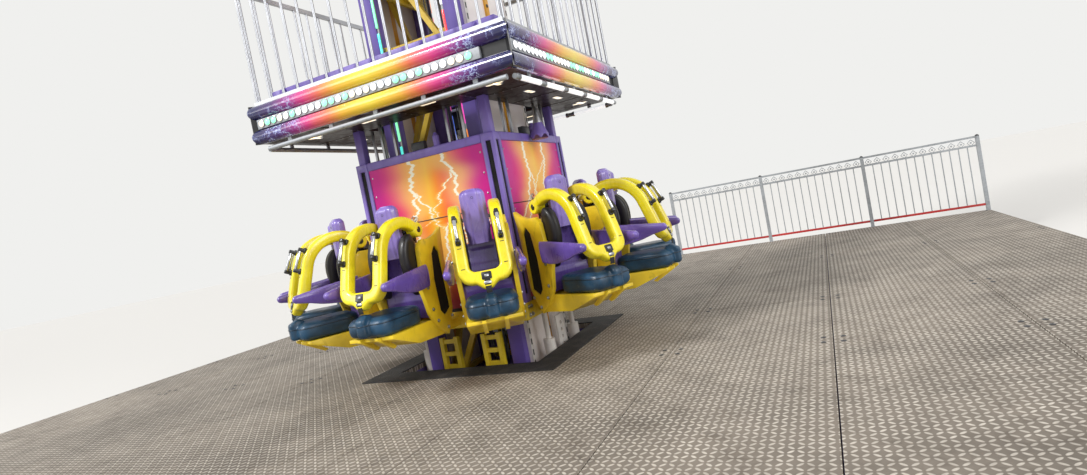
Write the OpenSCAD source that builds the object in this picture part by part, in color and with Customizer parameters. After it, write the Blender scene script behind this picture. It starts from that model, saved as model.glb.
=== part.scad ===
// Family drop tower ride: a latticed tower on a tread-plate deck, with a
// twelve-seat gondola that slides up the four tower rails.
// The seat's own drawing is local to the seat: x points outward, z is height.

/* [Deck] */
// Height of the walking surface above the ground
deck_top = 450; // [400:10:600]
// Deck width, side to side
deck_w = 10800; // [9000:100:12000]
// Deck length, front to back
deck_l = 12000; // [10000:100:14000]
// Thickness of one framed tread-plate panel
deck_t = 50; // [30:1:80]
// Width of the opening round the tower
well_w = 1480; // [1440:10:1700]
// Length of the opening round the tower
well_l = 1440; // [1420:10:1700]
// Gap between neighbouring deck panels
seam = 8; // [4:1:15]
// Distance of the first panel seam from the middle line
seam_x = 200; // [150:10:400]
// Panels beside the opening on each side
panel_n = 4; // [3:1:6]
// Width of the rubber mats round the opening
mat_w = 260; // [150:10:400]
// Thickness of the rubber mats
mat_t = 10; // [5:1:20]

/* [Base frame] */
// Height of the deck beams
beam_h = 200; // [120:5:260]
// Width of the deck beams
beam_w = 100; // [60:5:160]
// Cross beams in front of the tower, and as many behind it
beam_rows = 4; // [4:1:6]
// Thickness of the tower's base plate
base_plate_t = 30; // [15:1:50]
// Width of the tower's base plate
base_plate_w = 1800; // [1750:10:2200]
// Diameter of a levelling pad
pad_d = 240; // [150:5:350]
// Thickness of a levelling pad
pad_t = 25; // [15:1:40]
// Diameter of a levelling screw
screw_d = 60; // [40:1:90]

/* [Steps] */
// Width of the entry and exit steps
steps_w = 1200; // [900:10:1500]
// Depth of one tread
tread_d = 300; // [250:5:350]
// Thickness of one tread
tread_t = 40; // [25:1:60]
// Thickness of the steps' side plates
stringer_t = 30; // [15:1:50]

/* [Fence] */
// Height of the fence above the deck
fence_h = 1150; // [1000:10:1300]
// Bays on each side of the exit
fence_bays = 3; // [2:1:4]
// Width of the gap at the exit
fence_gap = 1200; // [1000:10:1500]
// Side of a square fence post
post_s = 50; // [40:1:70]
// Side of the fence rails
rail_s = 30; // [20:1:45]
// Side of the upright fence bars
picket_s = 14; // [10:1:22]
// Distance between the upright fence bars
picket_pitch = 125; // [100:5:160]
// Height of the ornament band under the top rail
band_h = 130; // [90:5:200]

/* [Tower] */
// Height of the tower rails' top above the ground
rail_top = 17300; // [16800:50:18500]
// Distance between the tower rails, centre to centre
rail_c = 900; // [860:5:960]
// Side of one square tower rail
rail_w = 140; // [120:5:150]
// Width of the lattice bars
lattice_w = 50; // [35:1:70]
// Bays in the height of the lattice
lattice_n = 16; // [12:1:20]
// Distance between the two bars of each double horizontal
lattice_pair = 150; // [110:5:220]
// Thickness of the white side panels
clad_t = 24; // [12:1:40]
// Share of the tower's height that the short side panel covers, in percent
clad_short = 58; // [40:1:80]
// Share of the tower's height that the long side panel covers, in percent
clad_long = 94; // [85:1:97]
// Width of the bolted strip up the middle of each side
strip_w = 70; // [50:1:110]
// Thickness of the bolted strip
strip_t = 40; // [30:1:60]
// Side of the square light tubes beside the rails
tube_s = 26; // [18:1:36]
// Diameter of the two rope sheaves in the head
sheave_d = 420; // [350:10:450]
// Width of a rope sheave
sheave_w = 56; // [50:2:80]
// Diameter of a lift cable
rope_d = 14; // [10:1:20]
// Height of the head above the rails
head_h = 700; // [500:10:900]

/* [Gondola] */
// Width of the square seat carrier
box_w = 1500; // [1460:10:1580]
// Height of the carrier's lower edge above the deck
box_low = 530; // [480:10:600]
// Height of the carrier's top above the deck
box_high = 2020; // [1900:10:2100]
// Side of the carrier's corner posts
corner_s = 130; // [110:5:150]
// Side of the carrier's top rail
top_rail_s = 75; // [55:1:95]
// Thickness of the picture panels
art_t = 20; // [10:1:30]
// Height of the lower ring beam
ring_h = 150; // [120:5:180]
// Width of the lower ring beam
ring_w = 110; // [80:5:130]
// Diameter of the guide rollers
roller_d = 110; // [90:5:130]
// Running clearance between the rollers and the rails
run_gap = 6; // [5:0.5:10]

/* [Canopy] */
// Width of the square canopy
canopy_w = 2680; // [2500:10:2900]
// Height of the canopy's lower edge above the deck
canopy_low = 2340; // [2250:10:2450]
// Height of the canopy's edge band
fascia_h = 343; // [300:1:400]
// Height of one half-round band
band_d = 126; // [110:1:140]
// Half the width of the dark trim at the canopy's corners
trim_w = 9; // [5:1:15]
// Thickness of the sheet behind the bands
fascia_t = 20; // [12:1:30]
// Thickness of the soffit
soffit_t = 24; // [12:1:40]
// Side of the square tubes of the canopy frame
frame_s = 100; // [70:5:120]
// Diameter of the pipe under the edge band
pipe_d = 42; // [30:1:60]
// Height of the cage above the canopy's edge
cage_h = 1050; // [800:10:1300]
// Diameter of a cage bar
cage_d = 24; // [16:1:34]
// Cage bars on one side
cage_n = 16; // [12:1:20]
// Height of the canopy frame above the edge sheets
frame_up = 10; // [5:1:20]
// Thickness of the frame's gusset plates
gusset_t = 12; // [8:1:20]

/* [Seats] */
// Number of seats round the gondola
seat_n = 12; // [8:1:12]
// Distance of the headrest's front from the tower's axis
head_r = 1450; // [1400:10:1550]
// Height of the headrest's top above the deck
head_top = 1550; // [1450:10:1650]
// Width of the headrest
head_w = 200; // [150:5:210]
// Height of the headrest
head_h_size = 430; // [350:5:500]
// Thickness of the headrest
head_t = 95; // [70:1:120]
// Width of the seat cushion
cushion_w = 430; // [380:5:450]
// Length of the seat cushion
cushion_l = 550; // [500:5:560]
// Thickness of the seat cushion
cushion_t = 150; // [120:5:155]
// Height of the cushion's underside above the deck
cushion_low = 590; // [570:5:595]
// Width of the pommel block on the cushion's front
pommel_w = 110; // [90:5:130]
// Height of the pommel's top above the deck
pommel_top = 775; // [760:5:780]
// Reach of the pommel in front of the cushion
pommel_out = 50; // [30:5:60]
// Width of the seat's back shell
back_w = 410; // [410:1:420]
// Thickness of the side frame plates
side_t = 36; // [24:1:40]
// Length of an armrest
arm_l = 545; // [480:5:560]
// Height of the armrests' rear end above the deck
arm_top = 1040; // [1020:5:1050]
// Thickness of an armrest
arm_t = 60; // [50:1:66]
// Radius of an armrest's rounded tip
arm_tip = 32; // [26:1:36]

/* [Harness] */
// Outer width of the shoulder harness
harness_w = 400; // [380:2:400]
// Width of one harness arm
harness_d = 90; // [70:1:90]
// Thickness of the harness arms, front to back
harness_t = 94; // [70:1:96]
// Height of the harness pivot above the deck
pivot_z = 1320; // [1300:5:1340]
// Distance of the harness pivot from the tower's axis
pivot_r = 1285; // [1275:5:1285]
// Radius of the harness bend over the shoulder
shoulder_r = 285; // [270:5:295]
// Angle round the bend at which it meets the pivot eye, in degrees
bend_from = 133; // [128:1:138]
// Height of the lap bar's middle above the deck
lap_z = 890; // [880:5:900]
// Distance of the lap bar from the tower's axis
lap_r = 1850; // [1830:5:1860]
// Reach of the pointed tip under the lap bar
lap_tip = 45; // [20:1:50]
// Radius of the lap bar's outer corners
lap_round = 105; // [90:1:120]
// Angle round the bend of the grab handles' middle, in degrees
handle_at = 24; // [20:1:28]
// Diameter of the pivot pin
pin_d = 30; // [20:1:40]
// Diameter of the grab handles
handle_d = 28; // [18:1:32]
// Length of the grab handles
handle_l = 200; // [150:5:240]

/* [Hidden] */
$fn = 32;
touch = 0.3;
deck_low = deck_top - deck_t;
beam_low = deck_low - beam_h;
well_x = well_w / 2;
well_y = well_l / 2;
half_w = deck_w / 2;
half_l = deck_l / 2;
side_panel_w = (half_w - well_x) / panel_n;
rail_h = rail_c / 2;
rail_in = rail_h - rail_w / 2;
rail_out = rail_h + rail_w / 2;
rail_low = beam_low;
tower_len = rail_top - rail_low;
sheave_x = 65;
sheave_y = 150;
bearer_out = 210;
axle_d = 50;
sheave_z = rail_top + 120 + axle_d / 2 + touch;
box_h = box_w / 2;
box_z0 = deck_top + box_low;
box_z1 = deck_top + box_high;
ring_z1 = box_z0;
ring_z0 = ring_z1 - ring_h;
canopy_h = canopy_w / 2;
can_z0 = deck_top + canopy_low;
can_z1 = can_z0 + fascia_h;
fascia_in = canopy_h - band_d / 2 - fascia_t;
hole_h = rail_out + 100;
frame_z0 = can_z1 + frame_up;
frame_out = fascia_in - 90;
cage_c = fascia_in + fascia_t / 2;
cage_rail = 30;
roller_z = [ring_z0 + ring_h / 2, box_z1 - top_rail_s / 2];
beam_x0 = well_x + beam_w / 2;
beam_y0 = well_y + beam_w / 2;
beam_xs = concat([beam_x0], [for (i = [1:panel_n - 1]) well_x + i * side_panel_w], [half_w - pad_d / 2]);
beam_ys = [for (i = [0:beam_rows - 1]) beam_y0 + i * (half_l - pad_d / 2 - beam_y0) / (beam_rows - 1)];
arm_y = (harness_w - harness_d) / 2;
pivot_top = deck_top + pivot_z;
bend = [pivot_r, pivot_top] - shoulder_r * [cos(bend_from), sin(bend_from)];
lap_drop = [lap_r, deck_top + lap_z] - bend;
arm_run = sqrt(pow(norm(lap_drop), 2) - pow(shoulder_r, 2));
tilt = atan2(lap_drop[0], -lap_drop[1]) - asin(shoulder_r / norm(lap_drop));
seat_z = deck_top + cushion_low;
head_low = head_top - head_h_size;
back_x = head_r - 188;
back_t = 110;
cushion_x0 = back_x + back_t + 8;
cushion_x1 = cushion_x0 + cushion_l;
arm_x0 = cushion_x0 + 20;
eye_wall = 30;
housing_d = 120;
housing_drop = 105;
housing_back = 115;
fence_y = half_l - post_s / 2;
clad_y = rail_out - 80;
hinge_z = rail_low + tower_len * 0.24;
hinge_x = rail_in - 90;
hinge_y = 170;
hinge_block = 120;
ram_x = 160;
ram_d = 120;
ladder_x = 170;
post_c = box_h - corner_s / 2;
lap_over = 20;
lap_step = 2;
bay_w = (half_w - fence_gap / 2 - post_s) / fence_bays;

module block(lo, hi) {
    translate(lo) cube(hi - lo);
}

module mirrored_x() {
    children();
    mirror([1, 0, 0]) children();
}

module mirrored_y() {
    children();
    mirror([0, 1, 0]) children();
}

module four_sides() {
    for (a = [0:90:270]) rotate([0, 0, a]) children();
}

module at_seats() {
    for (i = [0:seat_n - 1]) rotate([0, 0, i * 360 / seat_n]) children();
}

// A square bar from p to q, both [x, z], lying in the plane y = 0
module strut(p, q, w, t) {
    d = q - p;
    translate([p[0], 0, p[1]])
        rotate([0, -atan2(d[1], d[0]), 0])
            translate([0, -t / 2, -w / 2]) cube([norm(d), t, w]);
}

// A framed tread-plate field, cut into panels at the given x and y lines
module deck_field(xs, ys) {
    for (i = [0:len(xs) - 2], j = [0:len(ys) - 2])
        block([xs[i] + seam / 2, ys[j] + seam / 2, deck_low],
            [xs[i + 1] - seam / 2, ys[j + 1] - seam / 2, deck_top]);
}

function wide_lines() = concat(
    [for (i = [panel_n:-1:0]) -(well_x + i * side_panel_w)],
    [-seam_x, seam_x],
    [for (i = [0:panel_n]) well_x + i * side_panel_w]);

module deck_end() {
    deck_field(wide_lines(), [-half_l, -(half_l + well_y) / 2, -well_y]);
}

module deck_side() {
    deck_field([for (i = [0:panel_n]) well_x + i * side_panel_w], [-well_y, well_y]);
}

module deck_front() {
    color("dimgray") deck_end();
}

module deck_back() {
    color("dimgray") mirror([0, 1, 0]) deck_end();
}

module deck_left() {
    color("dimgray") mirror([1, 0, 0]) deck_side();
}

module deck_right() {
    color("dimgray") deck_side();
}

module deck_mats() {
    color("#202022") {
        mirrored_y() block([-well_x - mat_w, -well_y - mat_w, deck_top], [well_x + mat_w, -well_y, deck_top + mat_t]);
        mirrored_x() block([well_x, -well_y + touch, deck_top], [well_x + mat_w, well_y - touch, deck_top + mat_t]);
    }
}

module base_frame() {
    color("#6a5aa8") {
        union() {
            mirrored_x() for (x = beam_xs)
                block([x - beam_w / 2, -half_l + 5, beam_low], [x + beam_w / 2, half_l - 5, deck_low]);
            mirrored_y() for (y = beam_ys)
                block([-half_w + 5, y - beam_w / 2, beam_low], [half_w - 5, y + beam_w / 2, deck_low]);
        }
        block([-base_plate_w / 2, -base_plate_w / 2, beam_low - base_plate_t],
            [base_plate_w / 2, base_plate_w / 2, beam_low]);
    }
}

module jack(z) {
    cylinder(d = pad_d, h = pad_t);
    translate([0, 0, pad_t + touch]) cylinder(d = screw_d, h = z - pad_t - touch);
}

module levelling_jacks() {
    color("#8a8f94") {
        mirrored_x() mirrored_y() for (i = [0:2:panel_n], y = beam_ys)
            if (i > 0 || y > beam_y0) translate([beam_xs[i], y, 0]) jack(beam_low);
        mirrored_x() mirrored_y() translate([rail_h, rail_h, 0]) jack(beam_low - base_plate_t);
    }
}

module steps_flight() {
    rise = deck_low / 3;
    y0 = -half_l + seam / 2 - touch;
    for (i = [0:1]) translate([0, y0 - (i + 1) * tread_d, 0])
        block([-steps_w / 2, 0, (2 - i) * deck_top / 3 - tread_t], [steps_w / 2, tread_d, (2 - i) * deck_top / 3]);
    mirrored_x() translate([steps_w / 2 + touch, y0, 0]) rotate([90, 0, 90])
        linear_extrude(stringer_t)
            polygon([[0, 0], [0, deck_low], [-tread_d, rise * 2], [-2 * tread_d, rise], [-2 * tread_d, 0]]);
}

module deck_steps() {
    color("#8a8f94") mirrored_y() steps_flight();
}

module fence_bay() {
    n = floor((bay_w - post_s) / picket_pitch);
    gap = (bay_w - post_s) / (n + 1);
    translate([0, -post_s / 2, 0]) cube([post_s, post_s, fence_h]);
    for (z = [80, fence_h - band_h - rail_s, fence_h - rail_s])
        translate([post_s / 2, -rail_s / 2, z]) cube([bay_w - post_s / 2 - touch, rail_s, rail_s]);
    for (i = [1:n]) translate([post_s + i * gap - picket_s / 2, -picket_s / 2, 80])
        cube([picket_s, picket_s, fence_h - band_h - 80]);
}

module exit_fence() {
    color("#9aa0a6") mirrored_x() translate([fence_gap / 2, fence_y, deck_top]) {
        for (i = [0:fence_bays - 1]) translate([i * bay_w, 0, 0]) fence_bay();
        translate([fence_bays * bay_w, -post_s / 2, 0]) cube([post_s, post_s, fence_h]);
    }
}

module tower_rails() {
    color("#7059ae") mirrored_x() mirrored_y()
        block([rail_in, rail_in, rail_low], [rail_out, rail_out, rail_top]);
}

// One flat side of the tower's lattice, in the plane y = 0, between two rails
module lattice_side() {
    pitch = tower_len / lattice_n;
    x = rail_in - lattice_w;
    intersection() {
        block([-rail_in, -lattice_w / 2, rail_low], [rail_in, lattice_w / 2, rail_top]);
        union() {
            for (i = [0:lattice_n], s = [-1, 1])
                translate([0, 0, rail_low + i * pitch + s * lattice_pair / 2])
                    cube([2 * rail_in, lattice_w, lattice_w], center = true);
            for (i = [0:lattice_n - 1])
                strut([(i % 2 * 2 - 1) * x, rail_low + i * pitch - lattice_pair / 2],
                    [(1 - i % 2 * 2) * x, rail_low + (i + 1) * pitch + lattice_pair / 2],
                    lattice_w, lattice_w);
        }
    }
}

module lattice_front() {
    color("#c8a82a") translate([0, -rail_h, 0]) lattice_side();
}

module lattice_back() {
    color("#c8a82a") translate([0, rail_h, 0]) lattice_side();
}

module lattice_left() {
    color("#c8a82a") translate([-rail_h, 0, 0]) rotate([0, 0, 90]) lattice_side();
}

module lattice_right() {
    color("#c8a82a") translate([rail_h, 0, 0]) rotate([0, 0, 90]) lattice_side();
}

module side_panels_front() {
    color("#ece4df") mirrored_x()
        block([rail_out + touch, -clad_y, rail_low],
            [rail_out + clad_t, -strip_w / 2 - touch, rail_low + tower_len * clad_short / 100]);
}

module side_panels_rear() {
    top = rail_low + tower_len * clad_long / 100;
    color("#ece4df") mirrored_x() translate([rail_out + touch, 0, 0]) rotate([90, 0, 90])
        linear_extrude(clad_t - touch)
            polygon([[strip_w / 2 + touch, rail_low], [clad_y, rail_low], [clad_y, top - clad_y], [strip_w / 2 + touch, top]]);
}

module side_strips() {
    color("#dca021") mirrored_x()
        block([rail_out + touch, -strip_w / 2, rail_low], [rail_out + strip_t, strip_w / 2, rail_top - head_h]);
}

module light_tubes() {
    color("#f2f2f2") mirrored_x() mirrored_y()
        translate([rail_in - tube_s, rail_out - tube_s, beam_low + tower_len * 0.12])
            cube([tube_s - touch, tube_s, tower_len * 0.84]);
}

// The fold mechanism: two cheek plates, two C-shaped arms, a faceted cross block, the fold pin and two beams
module fold_hinge() {
    plate = 30;
    arm = 40;
    reach = 270;
    color("#e0c21e") {
        mirrored_x() {
            block([hinge_x, -rail_in + 40, hinge_z - 300], [hinge_x + plate, rail_in - 40, hinge_z + 300]);
            translate([hinge_x - arm, 0, hinge_z]) rotate([90, 0, 90]) linear_extrude(arm - touch)
                polygon(concat(arc([0, 0], reach, -125, 125), arc([0, 0], reach - 70, 125, -125)));
        }
        translate([0, hinge_y, hinge_z]) rotate([0, 90, 0]) rotate([0, 0, 22.5])
            cylinder(d = hinge_block / cos(22.5), h = 2 * (hinge_x - arm - touch), center = true, $fn = 8);
        translate([0, 0, hinge_z]) rotate([0, 90, 0]) cylinder(d = 100, h = 2 * (hinge_x - touch), center = true);
        for (z = [hinge_z - 280, hinge_z + 220])
            block([-rail_in + touch, -rail_in - 40, z], [rail_in - touch, -rail_in + 50, z + 60]);
    }
}

module erection_ram() {
    rod_top = hinge_z - hinge_block / 2 - touch - beam_low;
    rod_out = 1100;
    color("#d5d8da") translate([ram_x, hinge_y, beam_low]) {
        cylinder(d = ram_d, h = rod_top - rod_out);
        translate([0, 0, rod_top - rod_out - 40]) cylinder(d = ram_d + 24, h = 60);
        cylinder(d = ram_d / 2, h = rod_top);
    }
}

module tower_ladder() {
    side = 25;
    depth = 40;
    y = rail_h - lattice_w / 2 - depth - touch;
    color("#9aa0a6") translate([0, y, 0]) {
        mirrored_x() block([ladder_x, 0, rail_low], [ladder_x + side, depth, rail_top - head_h]);
        for (z = [rail_low + 300:300:rail_top - head_h - 100])
            translate([0, depth / 2, z]) rotate([0, 90, 0]) cylinder(d = 24, h = 2 * ladder_x + side, center = true);
    }
}

module lift_cables() {
    color("#6d7175") for (s = [-1, 1], x = [sheave_x - rope_d, sheave_x + rope_d])
        translate([s * x, sheave_y - sheave_d / 2 - rope_d / 2 - touch, beam_low])
            cylinder(d = rope_d, h = sheave_z - beam_low, $fn = 16);
}

module tower_head() {
    color("#7059ae") {
        mirrored_y() block([-rail_out, -rail_out, rail_top], [rail_out, -rail_in, rail_top + 120]);
        mirrored_x() block([rail_in, -rail_in + touch, rail_top], [rail_out, rail_in - touch, rail_top + 120]);
        mirrored_x() block([bearer_out - 60, -rail_in + touch, rail_top], [bearer_out, rail_in - touch, rail_top + 120]);
        mirrored_x() mirrored_y() block([rail_in + 20, rail_in + 20, rail_top + 120], [rail_out - 20, rail_out - 20, rail_top + head_h - 30]);
        block([-rail_out, -rail_out, rail_top + head_h - 30], [rail_out, rail_out, rail_top + head_h]);
    }
}

module head_sheaves() {
    color("#8a8f94") translate([0, sheave_y, sheave_z]) rotate([0, 90, 0]) {
        for (s = [-1, 1]) translate([0, 0, s * sheave_x]) cylinder(d = sheave_d, h = sheave_w, center = true);
        cylinder(d = axle_d, h = 2 * bearer_out, center = true);
    }
}

// The landing buffers, and a fin with a row of round holes behind each of the front two
module landing_buffers() {
    fin_t = 16;
    fin_h = 520;
    color("#e4e6e8") {
        mirrored_x() mirrored_y() translate([well_x - 60, 300, beam_low]) {
            cylinder(d = 110, h = 360);
            cylinder(d = 50, h = ring_z0 - beam_low - run_gap);
        }
        mirrored_x() translate([well_x - 60, 0, beam_low]) difference() {
            translate([-fin_t / 2, -90, 0]) cube([fin_t, 180, fin_h]);
            for (i = [0:5]) translate([0, 0, 90 + i * 70]) rotate([0, 90, 0]) cylinder(d = 40, h = fin_t + 2, center = true);
        }
    }
}

module base_brackets() {
    color("#e0c21e") mirrored_x() mirrored_y() translate([230, -(rail_out + 60), beam_low]) {
        for (x = [-100, 60]) translate([x, 0, 0]) cube([40, 50, 520]);
        for (z = [100:120:460]) translate([-100, 10, z]) cube([200, 30, 40]);
    }
}

module carrier_ring() {
    color("#e0c21e") {
        mirrored_y() block([-box_h, -box_h, ring_z0], [box_h, -box_h + ring_w, ring_z1]);
        mirrored_x() block([box_h - ring_w, -box_h + ring_w + touch, ring_z0],
            [box_h, box_h - ring_w - touch, ring_z1]);
    }
}

module carrier_posts() {
    slot_w = corner_s * 0.38;
    color("#7059ae") mirrored_x() mirrored_y() difference() {
        block([box_h - corner_s, box_h - corner_s, box_z0], [box_h, box_h, box_z1]);
        block([box_h - 45, box_h - corner_s / 2 - slot_w / 2, box_z0 + 70],
            [box_h + 1, box_h - corner_s / 2 + slot_w / 2, box_z1 - 70]);
        block([box_h - corner_s / 2 - slot_w / 2, box_h - 45, box_z0 + 70],
            [box_h - corner_s / 2 + slot_w / 2, box_h + 1, box_z1 - 70]);
    }
}

module carrier_top_rails() {
    color("#7059ae") four_sides()
        block([-box_h + corner_s + touch, -box_h, box_z1 - top_rail_s],
            [box_h - corner_s - touch, -box_h + top_rail_s, box_z1]);
}

module art_panels() {
    color("#ee5a96") four_sides()
        block([-box_h + corner_s + touch, -box_h + 12, box_z0],
            [box_h - corner_s - touch, -box_h + 12 + art_t, box_z1 - top_rail_s - touch]);
}

// A roller on its fork; the fork is fixed at y = reach, and the rail lies at y = 0
module roller(reach) {
    translate([0, run_gap + roller_d / 2, 0]) rotate([0, 90, 0]) cylinder(d = roller_d, h = 50, center = true);
    for (x = [-40, 25]) translate([x, run_gap + roller_d / 2 - 22, -25])
        cube([15, reach - run_gap - roller_d / 2 + 22, 50]);
}

module guide_rollers() {
    reaches = [box_h - ring_w - rail_out, box_h - top_rail_s - rail_out];
    color("#4a4d52") for (k = [0, 1]) mirrored_x() mirrored_y() translate([0, 0, roller_z[k]]) {
        translate([rail_h, rail_out, 0]) roller(reaches[k] - touch);
        translate([rail_out, rail_out - 35, 0]) rotate([0, 0, -90]) roller(reaches[k] - touch);
    }
}

module canopy_posts() {
    color("#7059ae") mirrored_x() mirrored_y()
        block([post_c - 40, post_c - 40, box_z1], [post_c + 40, post_c + 40, can_z0]);
}

// The square-tube frame over the edge bands; triangular gussets tie it to the cage's foot rail
module canopy_frame() {
    half = 40;
    top = frame_z0 + frame_s;
    cage_in = cage_c - cage_rail / 2;
    color("#7059ae") {
        mirrored_x() mirrored_y() block([post_c - half, post_c - half, can_z0 + soffit_t], [post_c + half, post_c + half, top - touch]);
        four_sides() {
            block([-post_c + half + touch, -post_c - half, frame_z0], [post_c - half - touch, -post_c + half, top]);
            block([-frame_out + frame_s + touch, -frame_out, frame_z0], [frame_out - touch, -frame_out + frame_s, top]);
            for (x = [-1000, -500, 0, 500, 1000]) translate([x - gusset_t / 2, 0, 0]) rotate([90, 0, 90]) linear_extrude(gusset_t)
                polygon([[-frame_out - touch, frame_z0], [-frame_out - touch, top], [-cage_in + touch, can_z1 + cage_rail],
                    [-cage_in + touch, frame_z0]]);
        }
        mirrored_x() mirrored_y() {
            block([post_c - half, post_c + half + touch, frame_z0], [post_c + half, frame_out - frame_s - touch, top]);
            block([post_c + half + touch, post_c - half, frame_z0], [frame_out - frame_s - touch, post_c + half, top]);
        }
    }
}

module canopy_soffit() {
    color("#35262a") {
        mirrored_y() block([-fascia_in, -fascia_in, can_z0], [fascia_in, -hole_h, can_z0 + soffit_t - touch]);
        mirrored_x() block([hole_h, -hole_h + touch, can_z0], [fascia_in, hole_h - touch, can_z0 + soffit_t - touch]);
    }
}

module fascia_sheets() {
    corner = fascia_in + fascia_t;
    color("#35262a") {
        mirrored_x() mirrored_y() translate([corner + touch, corner + touch, can_z0]) rotate([0, 0, 45])
            translate([0, -trim_w * 0.6, 0]) cube([band_d / 2, trim_w * 1.2, fascia_h]);
        mirrored_y() block([-fascia_in - fascia_t, -fascia_in - fascia_t, can_z0], [fascia_in + fascia_t, -fascia_in - touch, can_z1]);
        mirrored_x() block([fascia_in + touch, -fascia_in, can_z0], [fascia_in + fascia_t, fascia_in, can_z1]);
    }
}

module fascia_bands() {
    y = fascia_in + fascia_t + touch;
    color("#d94fa0") four_sides() for (z = [can_z0 + band_d / 2, can_z1 - band_d / 2])
        intersection() {
            translate([0, -y, z]) rotate([0, 90, 0]) cylinder(d = band_d, h = 2 * canopy_h, center = true);
            translate([0, 0, can_z0]) linear_extrude(fascia_h)
                polygon([[trim_w - y, -y], [trim_w - canopy_h, -canopy_h - 1], [canopy_h - trim_w, -canopy_h - 1], [y - trim_w, -y]]);
        }
}

module canopy_pipes() {
    color("#9aa0a6") four_sides() translate([0, -cage_c, 0]) {
        translate([0, 0, can_z0 - 50]) rotate([0, 90, 0]) cylinder(d = pipe_d, h = 2 * (cage_c - pipe_d), center = true);
        for (x = [-2:2]) translate([x * 480, 0, can_z0 - 25]) cube([40, 12, 50 - 2 * touch], center = true);
    }
}

// One side of the cage: foot rail, top rail and the upright bars between them
module cage_side(len) {
    pitch = (len - cage_d * 2) / (cage_n - 1);
    z = can_z1 + touch;
    top = 40;
    translate([-len / 2, -cage_rail / 2, z]) cube([len, cage_rail, cage_rail - touch]);
    translate([-len / 2, -cage_rail / 2, z + cage_h - top]) cube([len, cage_rail, top]);
    for (i = [0:cage_n - 1]) translate([-len / 2 + cage_d + i * pitch, 0, z]) cylinder(d = cage_d, h = cage_h - top / 2, $fn = 16);
}

module canopy_cage() {
    color("#c9ccd0") {
        mirrored_y() translate([0, -cage_c, 0]) cage_side(2 * cage_c + cage_rail);
        mirrored_x() translate([cage_c, 0, 0]) rotate([0, 0, 90]) cage_side(2 * cage_c - cage_rail - 2 * touch);
    }
}

module bell_hoods() {
    color("#7059ae") mirrored_x() translate([box_h + 100, 0, box_z1 - 70]) {
        difference() {
            rotate_extrude() polygon([[0, 0], [86, 0], [80, 60], [52, 120], [30, 180], [16, 300], [0, 300]]);
            for (a = [0, 120, 240]) rotate([0, 0, a]) translate([0, 0, -12]) rotate([0, 90, 0]) cylinder(d = 70, h = 120);
        }
        translate([-100 + touch, -15, 30]) cube([60, 30, 30]);
    }
}

// Side plates with their long slots, and the wedge-shaped seat base between them, on an arm from the carrier
module seat_frames() {
    ear = [[back_x - 222, pivot_z - 10], [back_x - 142, pivot_z - 55], [back_x - 32, pivot_z - 85],
        [back_x + 68, pivot_z - 85], [back_x + 128, pivot_z - 140]];
    front = [[arm_x0 + 2, arm_top], [arm_x0 + 50, arm_top - 80], [arm_x0 + 62, arm_top - 170], [arm_x0 + 30, arm_top - 270],
        [arm_x0 + 2, cushion_low + 50], [back_x + 68, cushion_low - 60]];
    rear = [[back_x - 57, cushion_low - 155], [back_x - 112, cushion_low - 70], [back_x - 177, cushion_low + 50],
        [back_x - 187, pivot_z - 320], [back_x - 202, pivot_z - 140]];
    slot = [[back_x - 142, cushion_low + 50], [back_x - 47, cushion_low], [back_x, cushion_low + 50],
        [back_x + 6, pivot_z - 420], [back_x - 27, pivot_z - 210], [back_x - 82, pivot_z - 150], [back_x - 132, pivot_z - 210]];
    underside = [[back_x - 122, cushion_low - 120], [back_x - 62, cushion_low - 150], [cushion_x0 - 50, cushion_low - 144],
        [cushion_x0 + 180, cushion_low - 135], [cushion_x1 - 70, cushion_low - 25]];
    bracket = [[cushion_x1 - 230, cushion_low - 110], [cushion_x1 - 200, cushion_low - 120], [cushion_x1 - 30, cushion_low - 20],
        [cushion_x1 - 30, cushion_low - touch], [cushion_x1 - 90, cushion_low - touch]];
    seat_top = cushion_low - touch;
    foot = 55;
    foot_low = 410;
    upright_x = pivot_r - housing_back - 60;
    color("#e0c21e") difference() {
        at_seats() translate([0, 0, deck_top]) {
            for (y = [-back_w / 2 - side_t, back_w / 2])
                translate([0, y + side_t, 0]) rotate([90, 0, 0]) linear_extrude(side_t) difference() {
                    polygon(concat(ear, front, rear));
                    polygon(slot);
                }
            translate([0, back_w / 2 + 1, 0]) rotate([90, 0, 0]) linear_extrude(back_w + 2)
                polygon(concat(underside, [[cushion_x1 - 70, seat_top], [back_x - 122, seat_top]]));
            mirrored_y() translate([0, 95, 0]) rotate([90, 0, 0]) linear_extrude(30) polygon(bracket);
            block([box_h - 50, -foot, foot_low], [back_x - 102, foot, foot_low + 80]);
            block([upright_x, -45, foot_low + 80], [upright_x + 70, 45, pivot_z - housing_drop - touch]);
        }
        block([-box_h - touch, -box_h - touch, 0], [box_h + touch, box_h + touch, rail_top]);
    }
}

module seat_backs() {
    rest = head_r - head_t - touch;
    color("#8f78cc") at_seats() translate([0, back_w / 2 - touch, deck_top]) rotate([90, 0, 0])
        linear_extrude(back_w - 2 * touch)
            polygon([[back_x, cushion_low + 20], [back_x + back_t, cushion_low + 20], [back_x + back_t - 6, 900],
                [rest, head_low], [rest, head_low + 10], [back_x, head_low + 10]]);
}

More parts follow.
